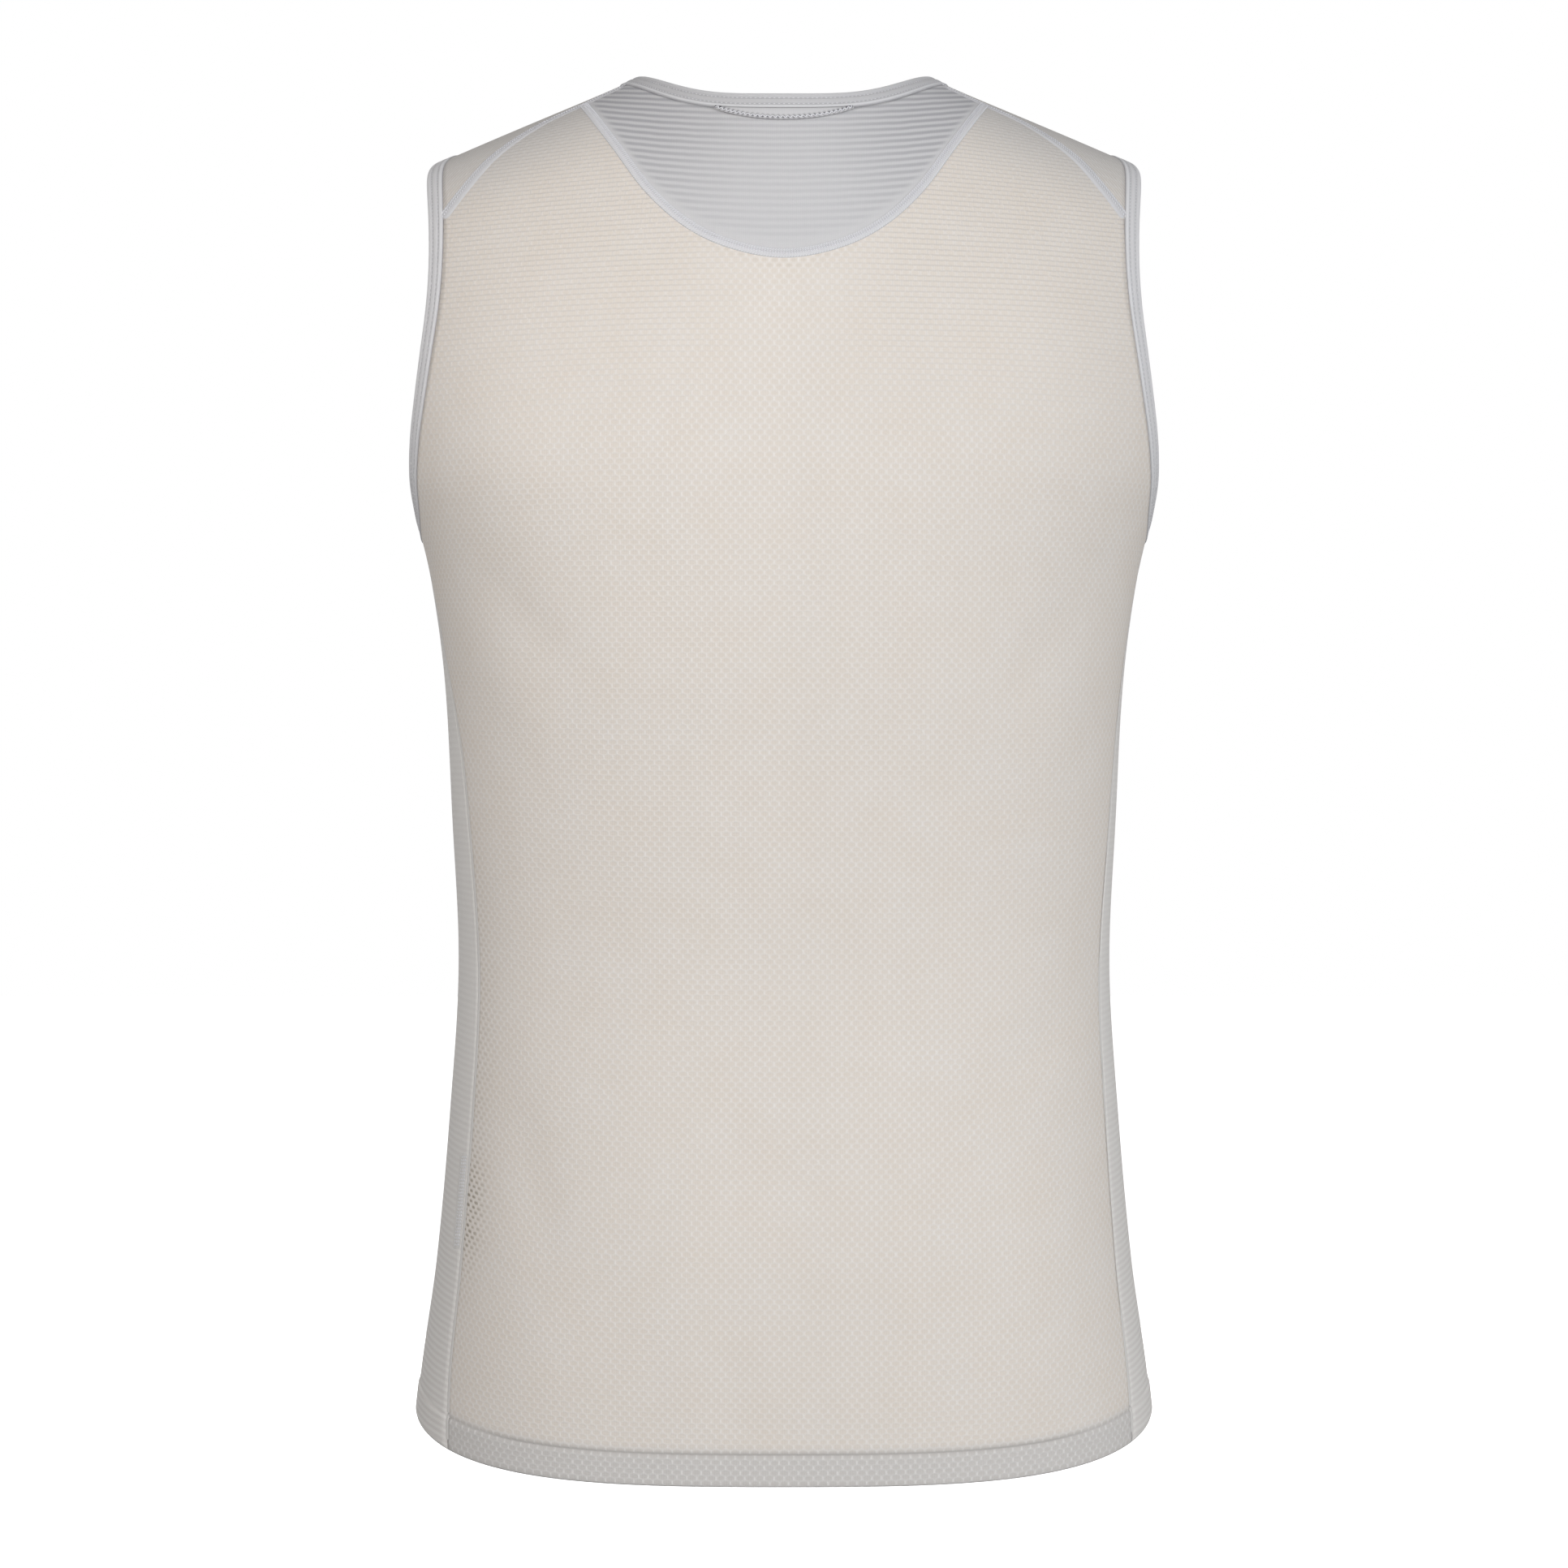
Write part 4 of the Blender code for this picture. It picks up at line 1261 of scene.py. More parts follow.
    def yoke_spots(self, past: float) -> Array:
        """The yoke seam from the centre to the corner, moved up past it."""
        foot = np.linspace(0.0, self.yoke_break, self.yoke_foot + 1)
        rise = np.linspace(self.yoke_break, YOKE_CORNER.across - past, self.strap_rows + 1)
        across = np.concatenate([foot, rise[1:]])
        return FORM.spot_of(FORM.beside(FORM.yoke_seam, across, past, X_STEP))

    def shoulder_spots(self, start: float, past: float, count: int) -> Array:
        """The shoulder seam from start to the armhole, moved past it to the front."""
        end = float(FORM.armhole_line(np.array(self.arm_seam), self.seam_gap)[0])
        across = np.linspace(start, end, count + 1)
        return FORM.spot_of(FORM.beside(FORM.shoulder_seam, across, past, X_STEP))

    def skirt(self, column: str, facing: int, top_turn: float) -> Array:
        """A panel's spots from the hem to the underarm."""
        corner = self.arm_spots(np.array(top_turn))
        inner_levels = self.skirt_levels(1.0)
        inner = np.stack([np.zeros_like(inner_levels), facing * inner_levels], axis=-1)
        outer = FORM.side_seam(self.skirt_levels(abs(float(corner[1]))), column, self.seam_gap / 2)
        outer[-1] = corner
        return self.ruled(inner, outer, self.columns)

    def upper(self, start: float, opening: Array, foot: int, turns: tuple, shoulder: Array) -> list[Array]:
        """A panel's spots above the underarm: below the foot of its opening, and beside its rise."""
        chest_levels = np.linspace(start, opening[0, 1], self.chest_rows + 1)
        chest = np.stack([np.zeros_like(chest_levels), chest_levels], axis=-1)
        beside_arm, above_arm = self.arm_spots(turns[0]), self.arm_spots(turns[1])
        rise = opening[foot:]
        columns = self.columns - foot
        top = np.concatenate([opening[:foot], row_between(rise[0], above_arm[0], columns)])
        strap = self.ruled(rise, above_arm, columns, shoulder)
        return [self.ruled(chest, beside_arm, self.columns, top), strap]

    def back_zones(self) -> list[Array]:
        """The back panel's zones of spots."""
        gap = self.seam_gap / 2
        shoulder = self.shoulder_spots(YOKE_CORNER.across + gap, -gap, self.columns - self.yoke_foot)
        skirt = self.skirt(self.back_column, 1, self.back_chest[0])
        turns = self.back_chest, self.back_strap
        return [skirt] + self.upper(1.0, self.yoke_spots(-gap), self.yoke_foot, turns, shoulder)

    def front_zones(self) -> list[Array]:
        """The front panel's zones of spots."""
        neck = self.neck_spots(self.neck_turns)
        start = float(FORM.spot_point(neck[-1])[0])
        shoulder = self.shoulder_spots(start, self.seam_gap / 2, self.columns - self.neck_foot)
        skirt = self.skirt("front", -1, self.front_chest[0])
        turns = self.front_chest, self.front_strap
        return [skirt] + self.upper(-1.0, neck, self.neck_foot, turns, shoulder)

    def yoke_zone(self) -> Array:
        """The yoke's spots."""
        neck = self.neck_spots(self.yoke_turns)
        gap = self.seam_gap / 2
        start = float(FORM.spot_point(neck[-1])[0])
        across = np.linspace(start, YOKE_CORNER.across - gap, self.yoke_rows + 1)
        top = FORM.spot_of(FORM.beside(FORM.shoulder_seam, across, -gap, X_STEP))
        return self.ruled(neck, self.yoke_spots(gap), self.yoke_rows, top)

    def side_zone(self) -> Array:
        """The side panel's spots, by bearing, from its back seam to its front seam."""
        top = self.arm_spots(self.side_turns)
        top = np.stack([np.where(top[:, 1] > 0, top[:, 0], 180.0 - top[:, 0]), np.abs(top[:, 1])], axis=-1)
        gap = -self.seam_gap / 2
        back = FORM.side_seam(self.skirt_levels(top[0, 1]), self.back_column, gap)
        front = FORM.side_seam(self.skirt_levels(top[-1, 1]), "front", gap)
        front = np.stack([180.0 - front[:, 0], -front[:, 1]], axis=-1)
        return self.ruled(back, front, self.side_columns, top)


@dataclass
class Body:
    """The mesh-knit back and front, the yoke and the side panels."""

    wardrobe: Wardrobe
    halves: tuple[Panels, Panels]
    wall: float = 0.0012
    hem_wall: float = 0.0024
    hem_depth: float = 0.0150
    hem_stitches: float = 0.0147
    hem_groove_depth: float = 0.00035
    stretch_up: float = 0.925
    # How far the painted shade reaches below the shoulder ridge, on the back and on the front.
    back_cool: float = 0.045
    front_cool: float = 0.075
    opened_from_hem: float = 0.534
    opened_higher: float = 0.47
    stripe_smile: float = 1.20
    stripe_pitch: float = 0.0032
    stripe_first: float = 0.00272
    stripe_growth: float = 3.0

    def above_hem(self, points: Array) -> Array:
        """How far points lie above the hem's edge."""
        spots = FORM.spot_of(points)
        bearing = np.where(spots[..., 1] >= 0, spots[..., 0], 180.0 - spots[..., 0])
        return FORM.hem_down(bearing) - FORM.down_of(points)

    def hem_weight(self, points: Array) -> Array:
        """The hem's wall as a share: rounded at the fold, double above it, and drawn in at its stitches."""
        up = self.above_hem(points)
        fold = smooth_step(0.25 + up / 0.0022)
        stitched = 1.0 - 0.85 * bell(up - self.hem_stitches, 0.0009)
        return fold * (1.0 - smooth_step((up - self.hem_depth) / 0.0016)) * stitched

    def hem_groove(self, points: Array) -> Array:
        """How far the hem's stitches draw the cloth in."""
        return -self.hem_groove_depth * bell(self.above_hem(points) - self.hem_stitches, 0.0010)

    def cool(self, points: Array) -> Array:
        """Where the knit is tighter and greyer at the hem, and where shade is painted over the shoulder
        ridge.
        """
        at_hem = 1.0 - smooth_step((self.above_hem(points) - self.hem_depth + 0.0015) / 0.0060)
        # Painted shade, fading down from the shoulder ridge.
        under = FORM.down_of(points) - FORM.ridge(points[..., 0])
        reach = np.where(points[..., 1] > 0, self.back_cool, self.front_cool)
        return np.maximum(at_hem, 1.0 - smooth_step(under / reach))

    def opened(self, points: Array) -> Array:
        """Where the knit is drawn open, its cells painted dark with the shade seen through them: beside the
        left back seam, and in a row under the yoke.
        """
        down, back = FORM.down_of(points), points[..., 1] > 0
        drawn = bell(down - self.opened_from_hem, 0.022) + 0.26 * bell(down - self.opened_higher, 0.10)
        beside = bell(points[..., 1] - side_seam_place(points, "back_left") - 0.002, 0.0085)
        below = down - YOKE_SEAM.read(np.abs(points[..., 0]))[0]
        row = 0.5 * bell(below - 0.0042, 0.0012) * bell(points[..., 0], 0.034)
        at_seam = np.where(points[..., 0] > 0, drawn * beside, 0.0)
        return np.clip(np.where(back, at_seam + row, 0.0), 0.0, 1.0)

    def marks(self, points: Array) -> dict[str, Array]:
        """What the mesh finish reads, by name."""
        across = np.abs(points[..., 0])
        sides = 1.0 - 0.6 * smooth_step((across - 0.120) / 0.025)
        # The painted shadow in the groove of the hem's stitches, fainter at the sides.
        line = 0.90 * sides * bell(self.above_hem(points) - self.hem_stitches, 0.0008)
        high = 1.0 - smooth_step((FORM.down_of(points) - 0.07) / 0.13)
        brick = 0.10 + 0.48 * high * smooth_step(across / 0.06)
        return {"cool": self.cool(points), "line": line, "brick": brick, "opened": self.opened(points)}

    def mesh_panel(self, name: str, zones_of: Callable[[Panels], list[Array]], lay_of: Curve) -> Piece:
        """A mesh-knit panel of both halves.

        Args:
            name: Its name, for its side of the garment.
            zones_of: Gives a half's zones of spots.
            lay_of: Gives the knit's distances for spots.

        Returns:
            The panel.
        """
        parts = []
        for half in self.halves:
            for zone in zones_of(half):
                base = FORM.spot_point(zone)
                lay = lay_of(zone)
                lay[..., 1] = np.where(lay[..., 1] > 0, lay[..., 1] * self.stretch_up, lay[..., 1])
                placed = half.side.placed(base)
                points = FORM.lifted(placed, self.hem_groove(placed))
                parts.append(cloth_patch(name, points, half.side.laid(lay), self.marks(placed)))
        piece = joined(name, parts)
        walled(piece, self.hem_wall, self.hem_weight, self.wall / self.hem_wall)
        self.wardrobe.dress(piece, "mesh knit", "mesh_knit")
        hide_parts(name + "_panel")
        return piece

    def yoke(self, lay: KnitLay) -> Piece:
        """The striped yoke."""
        parts = []
        for half in self.halves:
            zone = half.yoke_zone()
            base = FORM.spot_point(zone)
            knit = lay.back_lay(zone)
            level = FORM.down_of(base) + self.stripe_smile * base[..., 0] ** 2
            grown = np.log1p(self.stripe_growth * level) / self.stripe_growth
            knit[..., 1] = -self.stripe_pitch / self.stripe_first * grown
            placed = FORM.lifted(half.side.placed(base))
            marks = {"bold": self.stripe_strength(base)}
            parts.append(cloth_patch("yoke", placed, half.side.laid(knit), marks))
        piece = joined("yoke", parts)
        walled(piece, self.wall)
        self.wardrobe.dress(piece, "yoke knit", "striped_knit")
        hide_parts("back_yoke")
        return piece

    def stripe_strength(self, points: Array) -> Array:
        """How bold the yoke's stripes are: strongest high up and at the sides, and gone at the seam."""
        across, down = points[..., 0], FORM.down_of(points)
        above = YOKE_SEAM.read(np.clip(across, 0.0, YOKE_CORNER.across))[0] - down
        high = 0.60 + 0.40 * smooth_step((0.075 - down) / 0.05)
        aside = 0.46 + 0.54 * smooth_step((across - 0.012) / 0.055)
        return smooth_step((above - 0.0035) / 0.006) * high * aside

    def side_panel(self, half: Panels, lay: KnitLay) -> Piece:
        """A striped side panel."""
        zone = half.side_zone()
        base = FORM.ring_point(zone[..., 0], zone[..., 1])
        placed = half.side.placed(base)
        points = FORM.lifted(placed, self.hem_groove(placed))
        name = "side_" + half.side.word
        bold = 0.4 + 0.6 * smooth_step((FORM.down_of(placed) - 0.40) / 0.20)
        piece = cloth_patch(name, points, lay.side_lay(zone), {"bold": bold})
        walled(piece, self.hem_wall, self.hem_weight, self.wall / self.hem_wall)
        self.wardrobe.dress(piece, "side knit", "striped_knit")
        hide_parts("side_panel_" + half.side.word)
        return piece


def swept(curve: Curve, places: Array, profile: Array, step: float, ends: Array | None = None) -> Array:
    """Rows of points where a profile runs along a curve on the cloth.

    Args:
        curve: The curve, by place.
        places: Where its rows are.
        profile: Distances to the curve's left and heights out of the cloth, one pair to a point.
        step: A small step in place, for its direction.
        ends: A scale of the profile at each place.

    Returns:
        The rows of points.
    """
    scale = np.ones(len(places)) if ends is None else ends
    wide = profile[None, :, 0] * scale[:, None]
    tall = profile[None, :, 1] * scale[:, None]
    line = places[:, None] + np.zeros_like(wide)
    base = FORM.beside(curve, line.ravel(), -wide.ravel(), step)
    return FORM.lifted(base, tall.ravel()).reshape(*wide.shape, 3)


def run_lengths(points: Array) -> Array:
    """Distance along the first axis of rows of points, at their first column."""
    steps = np.linalg.norm(np.diff(points[:, 0], axis=0), axis=-1)
    return np.concatenate([[0.0], np.cumsum(steps)])


def tube_piece(name: str, points: Array, profile: Array, marks: dict[str, Array]) -> Piece:
    """A closed piece of a profile's rows.

    Args:
        name: Its name.
        points: Its rows of points.
        profile: The profile.
        marks: Values for the profile's points that the finish reads, by name.

    Returns:
        The piece, with its width and run as its UV map.
    """
    run = run_lengths(points)[:, None] + np.zeros(points.shape[:2])
    width = np.concatenate([[0.0], np.cumsum(np.linalg.norm(np.diff(profile, axis=0), axis=-1))])
    lay = np.stack([width[None] + np.zeros_like(run), run], axis=-1)
    spread = {mark: values[None] + np.zeros_like(run) for mark, values in marks.items()}
    piece = patch(name, points, lay, spread)
    operate(piece, weld, face_out)
    piece.data.shade_smooth()
    return piece


@dataclass(frozen=True)
class StitchShape:
    """One stitch: a small bead of thread."""

    length: float
    width: float
    height: float
    slant: float = 0.0

    def model(self) -> tuple[Array, list[tuple[int, ...]]]:
        """The stitch's points and faces, lying along X with Z out."""
        select()
        bpy.ops.mesh.primitive_uv_sphere_add(segments=6, ring_count=4, radius=0.5)
        bead = bpy.context.object
        points = np.array([vertex.co for vertex in bead.data.vertices])[:, [2, 1, 0]]
        faces = [tuple(face.vertices)[::-1] for face in bead.data.polygons]
        bpy.data.objects.remove(bead)
        points = points * np.array((self.length, self.width, self.height))
        turn = math.radians(self.slant)
        cos, sin = math.cos(turn), math.sin(turn)
        return points @ np.array(((cos, sin, 0), (-sin, cos, 0), (0, 0, 1))), faces


Row = tuple[StitchShape, Array, Array, Array]


def sewn(name: str, rows: list[Row]) -> Piece:
    """Rows of stitches as one joined piece.

    Args:
        name: The piece's name.
        rows: For each row its stitch, and for each place its point, its direction and its way out.

    Returns:
        The piece.
    """
    points, faces, lays = [], [], []
    for shape, places, along, out in rows:
        model, model_faces = shape.model()
        across = np.cross(out, along)
        frames = np.stack([along, across, out], axis=1)
        start = sum(len(part) for part in points)
        placed = (places[:, None] + np.einsum("pi,nij->npj", model, frames)).reshape(-1, 3)
        points.append(placed)
        lays.append(np.tile(model[:, :2], (len(places), 1)))
        for i in range(len(places)):
            offset = start + i * len(model)
            faces += [tuple(offset + index for index in face) for face in model_faces]
    mesh = bpy.data.meshes.new(name)
    mesh.from_pydata(np.concatenate(points), [], faces)
    layer = mesh.uv_layers.new(name="UVMap")
    corners = np.empty(len(mesh.loops), int)
    mesh.loops.foreach_get("vertex_index", corners)
    layer.data.foreach_set("uv", np.concatenate(lays)[corners].ravel())
    mesh.shade_smooth()
    piece = bpy.data.objects.new(name, mesh)
    bpy.context.collection.objects.link(piece)
    return piece


def stitch_row(
    shape: StitchShape, curve: Curve, places: Array, aside: float, height: float, step: float
) -> Row:
    """A row of stitches along a curve.

    Args:
        shape: The stitch.
        curve: The curve, by place, on the left half.
        places: Where the stitches are.
        aside: How far to the curve's left.
        height: How far out of the cloth's middle.
        step: A small step in place, for its direction.

    Returns:
        The shape, and the points, directions and ways out of its places.
    """
    base = FORM.beside(curve, places, -aside, step)
    ahead = FORM.beside(curve, places + step, -aside, step)
    return shape, FORM.lifted(base, height), unit(ahead - base), FORM.outward(base)


def mirrored_row(row: Row) -> Row:
    """A row of stitches on the other side."""
    shape, *arrows = row
    return (replace(shape, slant=-shape.slant), *(Side.RIGHT.placed(arrow) for arrow in arrows))


@dataclass
class Bindings:
    """The folded strips round the neck and the armholes, with their two rows of stitches."""

    wardrobe: Wardrobe
    width: float = 0.009
    half_wall: float = 0.00115
    lip: float = 0.0017
    edge: float = 0.0007
    rows: tuple[float, float] = (0.0031, 0.0064)
    groove: float = 0.00042
    groove_width: float = 0.00050
    pitch: float = 0.0012
    stitch: StitchShape = StitchShape(0.00115, 0.00048, 0.00036)
    stitch_pitch: float = 0.0021
    proud: float = 0.00006

    def half_thickness(self, wide: Array) -> Array:
        """Half the strip's thickness at a distance from the opening's edge."""
        lip = np.sqrt(1.0 - (1.0 - np.clip(wide / self.lip, 0.0, 1.0)) ** 2)
        edge = np.sqrt(1.0 - (1.0 - np.clip((self.width - wide) / self.edge, 0.0, 1.0)) ** 2)
        grooves = sum(bell(wide - row, self.groove_width) for row in self.rows)
        crown = 0.0001 * np.sin(math.pi * wide / self.width)
        return (self.half_wall + crown) * lip * np.maximum(edge, 0.35) - self.groove * grooves

    def profile(self) -> Array:
        """The strip's section: distances from the opening's edge, and heights, closed."""
        fold = self.lip * (1.0 - np.cos(np.linspace(0.0, QUARTER_TURN, 7)))
        flat = np.linspace(self.lip, self.width - self.edge, 22)
        turned = self.width - self.edge * (1.0 - np.sin(np.linspace(0.0, QUARTER_TURN, 4)))
        wide = np.concatenate([fold, flat[1:], turned[1:]])
        outer = np.stack([wide, self.half_thickness(wide)], axis=-1)
        inner = np.stack([wide, -self.half_thickness(wide)], axis=-1)[::-1]
        return np.concatenate([outer, inner[:-1], outer[:1]])

    def profile_marks(self, profile: Array) -> dict[str, Array]:
        """Painted shade where the strip is pressed in and at its outer edge, and painted highlights on its
        edges.
        """
        wide = profile[:, 0]
        # Painted shade in the stitch grooves, and at the outer edge where it meets the cloth.
        low = sum(bell(wide - row, 0.00050) for row in self.rows) * 0.32
        low = low + 0.45 * bell(wide - self.width, 0.00035)
        # Painted highlight near the outer edge and at the fold.
        rim = 0.65 * bell(wide - self.width + 0.0011, 0.0005) + 0.35 * bell(wide - 0.0009, 0.0010)
        return {"low": np.clip(low, 0.0, 1.0), "rim": np.clip(rim, 0.0, 1.0)}

    def strip(self, name: str, node: str, finish: str, curve: Curve, side: Side, ripple: Curve) -> Piece:
        """A binding round an opening.

        Args:
            name: Its name.
            node: The solid that it stands for.
            finish: Its finish.
            curve: The opening's edge, by turn, on the left.
            side: Its side.
            ripple: How far its outer face ripples out, by turn.

        Returns:
            The strip.
        """
        turns = even_places(curve, 0.0, 360.0, self.pitch)
        profile = self.profile()
        points = swept(curve, turns, profile, TURN_STEP)
        outer = np.clip(profile[:, 1] / self.half_wall, -1.0, 1.0)
        lift = ripple(turns)[:, None] * outer[None] * np.sin(profile[:, 0] / self.width * math.pi)[None]
        points = points + FORM.outward(points) * lift[..., None]
        points[-1] = points[0]
        piece = tube_piece(name, side.placed(points), profile, self.profile_marks(profile))
        self.wardrobe.dress(piece, finish, "binding_knit")
        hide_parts(node)
        return piece

    def stitching(self, name: str, curve: Curve, side: Side) -> Piece:
        """The two rows of stitches on a binding, outside and inside."""
        turns = even_places(curve, 0.0, 360.0, self.stitch_pitch)[:-1]
        rows = []
        for aside in self.rows:
            height = float(self.half_thickness(np.array(aside))) + self.proud
            for face in (height, -height):
                rows.append(stitch_row(self.stitch, curve, turns, aside, face, TURN_STEP))
        if side is Side.RIGHT:
            rows = [mirrored_row(row) for row in rows]
        piece = sewn(name, rows)
        self.wardrobe.dress(piece, "soft thread", "binding_knit")
        return piece


@dataclass
class Flatlock:
    """A flat seam: a low band of looper thread with rows of small slanted stitches."""

    wardrobe: Wardrobe
    width: float
    cloth: float = 0.0006
    band: float = 0.00025
    ridge: float = 0.00030
    sunk: float = 0.0001
    proud: float = 0.00008
    pitch: float = 0.0016
    stitch_pitch: float = 0.00125
    stitch: StitchShape = StitchShape(0.0014, 0.00042, 0.00035, 38.0)
    finish: str = "seam band"
    slot: str = "striped_knit"

    def profile(self) -> Array:
        """The band's section, closed: a smooth ridge on its left and a flat on its right."""
        half = self.width / 2
        wide = half * np.sin(np.linspace(-QUARTER_TURN, QUARTER_TURN, 15))
        edge = np.sqrt(np.maximum(1.0 - (wide / half) ** 8, 0.0))
        flat = self.cloth - self.sunk + (self.band + self.sunk) * edge
        outer = flat + self.ridge * bell(wide - half * 0.52, half * 0.30) * edge
        top = np.stack([wide, outer], axis=-1)
        bottom = np.stack([wide, -flat], axis=-1)[::-1]
        return np.concatenate([top, bottom, top[:1]])

    def profile_marks(self, profile: Array) -> dict[str, Array]:
        """Painted shade across the band and at its edges, and a painted highlight on its ridge."""
        share = profile[:, 0] / self.width
        # Painted shade, then a painted highlight on the ridge.
        low = 0.5 * bell(share + 0.12, 0.09) + 0.45 * bell(np.abs(share) - 0.5, 0.05)
        return {"low": low, "rim": 0.22 * bell(share - 0.27, 0.13)}

    def band_piece(
        self, name: str, curve: Curve, first: float, last: float, sides: tuple[Side, ...]
    ) -> Piece:
        """The band along a curve.

        Args:
            name: Its name.
            curve: The seam, by place, on the left half.
            first: Its first place.
            last: Its last place.
            sides: The sides that it is made on.

        Returns:
            The band, of one or both sides.
        """
        places = even_places(curve, first, last, self.pitch)
        ends = np.ones(len(places))
        ends[0] = ends[-1] = 0.0
        ends[1] = ends[-2] = 0.8
        profile = self.profile()
        points = swept(curve, places, profile, X_STEP, ends)
        marks = self.profile_marks(profile)
        parts = [tube_piece(name, side.placed(points), profile, marks) for side in sides]
        piece = joined(name, parts) if len(parts) > 1 else parts[0]
        self.wardrobe.dress(piece, self.finish, self.slot)
        return piece

    def stitch_rows(self, curve: Curve, first: float, last: float, asides: tuple[float, ...]) -> list[Row]:
        """The rows of slanted stitches on the band, on the left half."""
        places = even_places(curve, first, last, self.stitch_pitch, ends=False)
        height = self.cloth + self.band + self.proud
        return [stitch_row(self.stitch, curve, places, aside, height, X_STEP) for aside in asides]

    def sew(self, name: str, rows: list[Row]) -> None:
        """Makes one piece of rows of stitches."""
        self.wardrobe.dress(sewn(name, rows), "thread", self.slot)


@dataclass
class NeckTab:
    """The small crescent under the back neck binding, with its chain of zigzag stitches."""

    wardrobe: Wardrobe
    half_width: float = 0.031
    drop: float = 0.0062
    end: float = 0.0012
    wall: float = 0.0010
    gap: float = 0.0003
    columns: int = 330
    rows: int = 16
    swell: float = 0.0003
    stitch: StitchShape = StitchShape(0.0019, 0.00064, 0.0006)
    slant: float = 42.0
    stitch_inset: float = 0.0009
    proud: float = 0.0002
    zigzag_pitch: float = 0.00114

    def drop_at(self, turn: Array, last: float) -> Array:
        """How far the crescent reaches below the binding."""
        return self.end + (self.drop - self.end) * (1.0 - (turn / last) ** 2)

    def last_turn(self) -> float:
        """The turn at the crescent's end."""
        return root(lambda turns: FORM.neck_line(turns)[:, 0] - self.half_width, 5.0, 60.0)

    def make(self, cloth_wall: float) -> Piece:
        """The crescent, on the yoke's outer face."""
        last = self.last_turn()
        turns = np.linspace(-last, last, self.columns + 1)
        shares = np.linspace(0.0, 1.0, self.rows + 1)
        past = self.gap + self.drop_at(turns, last)[:, None] * shares[None]
        grid = turns[:, None] + np.zeros_like(past)
        base = FORM.neck_line(grid.ravel(), past.ravel())
        lift = cloth_wall / 2 + self.gap + self.wall / 2
        swell = self.swell * np.sin(math.pi * np.tile(shares, len(turns)))
        points = FORM.lifted(base, lift + swell).reshape(*past.shape, 3)
        run = run_lengths(points)[:, None] + np.zeros_like(past)
        # Painted shadow: dark spots under the zigzag's stitches, and a dark line along the binding's edge.
        spots = 0.2 + 0.8 * (0.5 - 0.5 * np.cos(run * math.pi / self.zigzag_pitch))
        low = spots * bell((1.0 - shares) * (past[:, -1:] - past[:, :1]) - 0.0010, 0.0009)
        marks = {"low": low + 0.6 * bell(past - self.gap, 0.0006), "rim": np.zeros_like(past)}
        piece = cloth_patch("neck_tab_cloth", points, np.stack([run, past], axis=-1), marks)
        walled(piece, self.wall)
        self.wardrobe.dress(piece, "tab knit", "tab_knit")
        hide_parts("neck_tab")
        return piece

    def zigzag(self, cloth_wall: float) -> Piece:
        """The chain of slanted stitches along the crescent's lower edge."""
        last = self.last_turn()

        def low_edge(turn: Array) -> Array:
            """The line that the stitches run on, by turn."""
            return FORM.neck_line(turn, self.gap + self.drop_at(turn, last) - self.stitch_inset)

        turns = even_places(low_edge, -last * 0.985, last * 0.985, self.zigzag_pitch, ends=False)
        height = cloth_wall / 2 + self.gap + self.wall + self.proud
        rows = []
        for start, slant in ((0, self.slant), (1, -self.slant)):
            shape = replace(self.stitch, slant=slant)
            base = low_edge(turns[start::2])
            along = unit(low_edge(turns[start::2] + 5 * TURN_STEP) - base)
            rows.append((shape, FORM.lifted(base, height), along, FORM.outward(base)))
        piece = sewn("tab_zigzag", rows)
        self.wardrobe.dress(piece, "thread", "tab_knit")
        return piece


Lamp = namedtuple("Lamp", "name place size power tint")
LAMPS = (
    Lamp("key", (-1.9, 2.4, 0.30), 1.7, 37.0, (0.96, 0.985, 1.0)),
    Lamp("behind_camera", (0.0, 3.4, -0.1), 2.0, 15.0, (1.0, 1.0, 1.0)),
    Lamp("weak_side", (0.50, 0.75, 0.05), 0.4, 2.2, (1.0, 0.975, 0.935)),
    Lamp("before_it", (0.3, -3.0, -0.1), 2.4, 40.0, (1.0, 1.0, 1.0)),
)


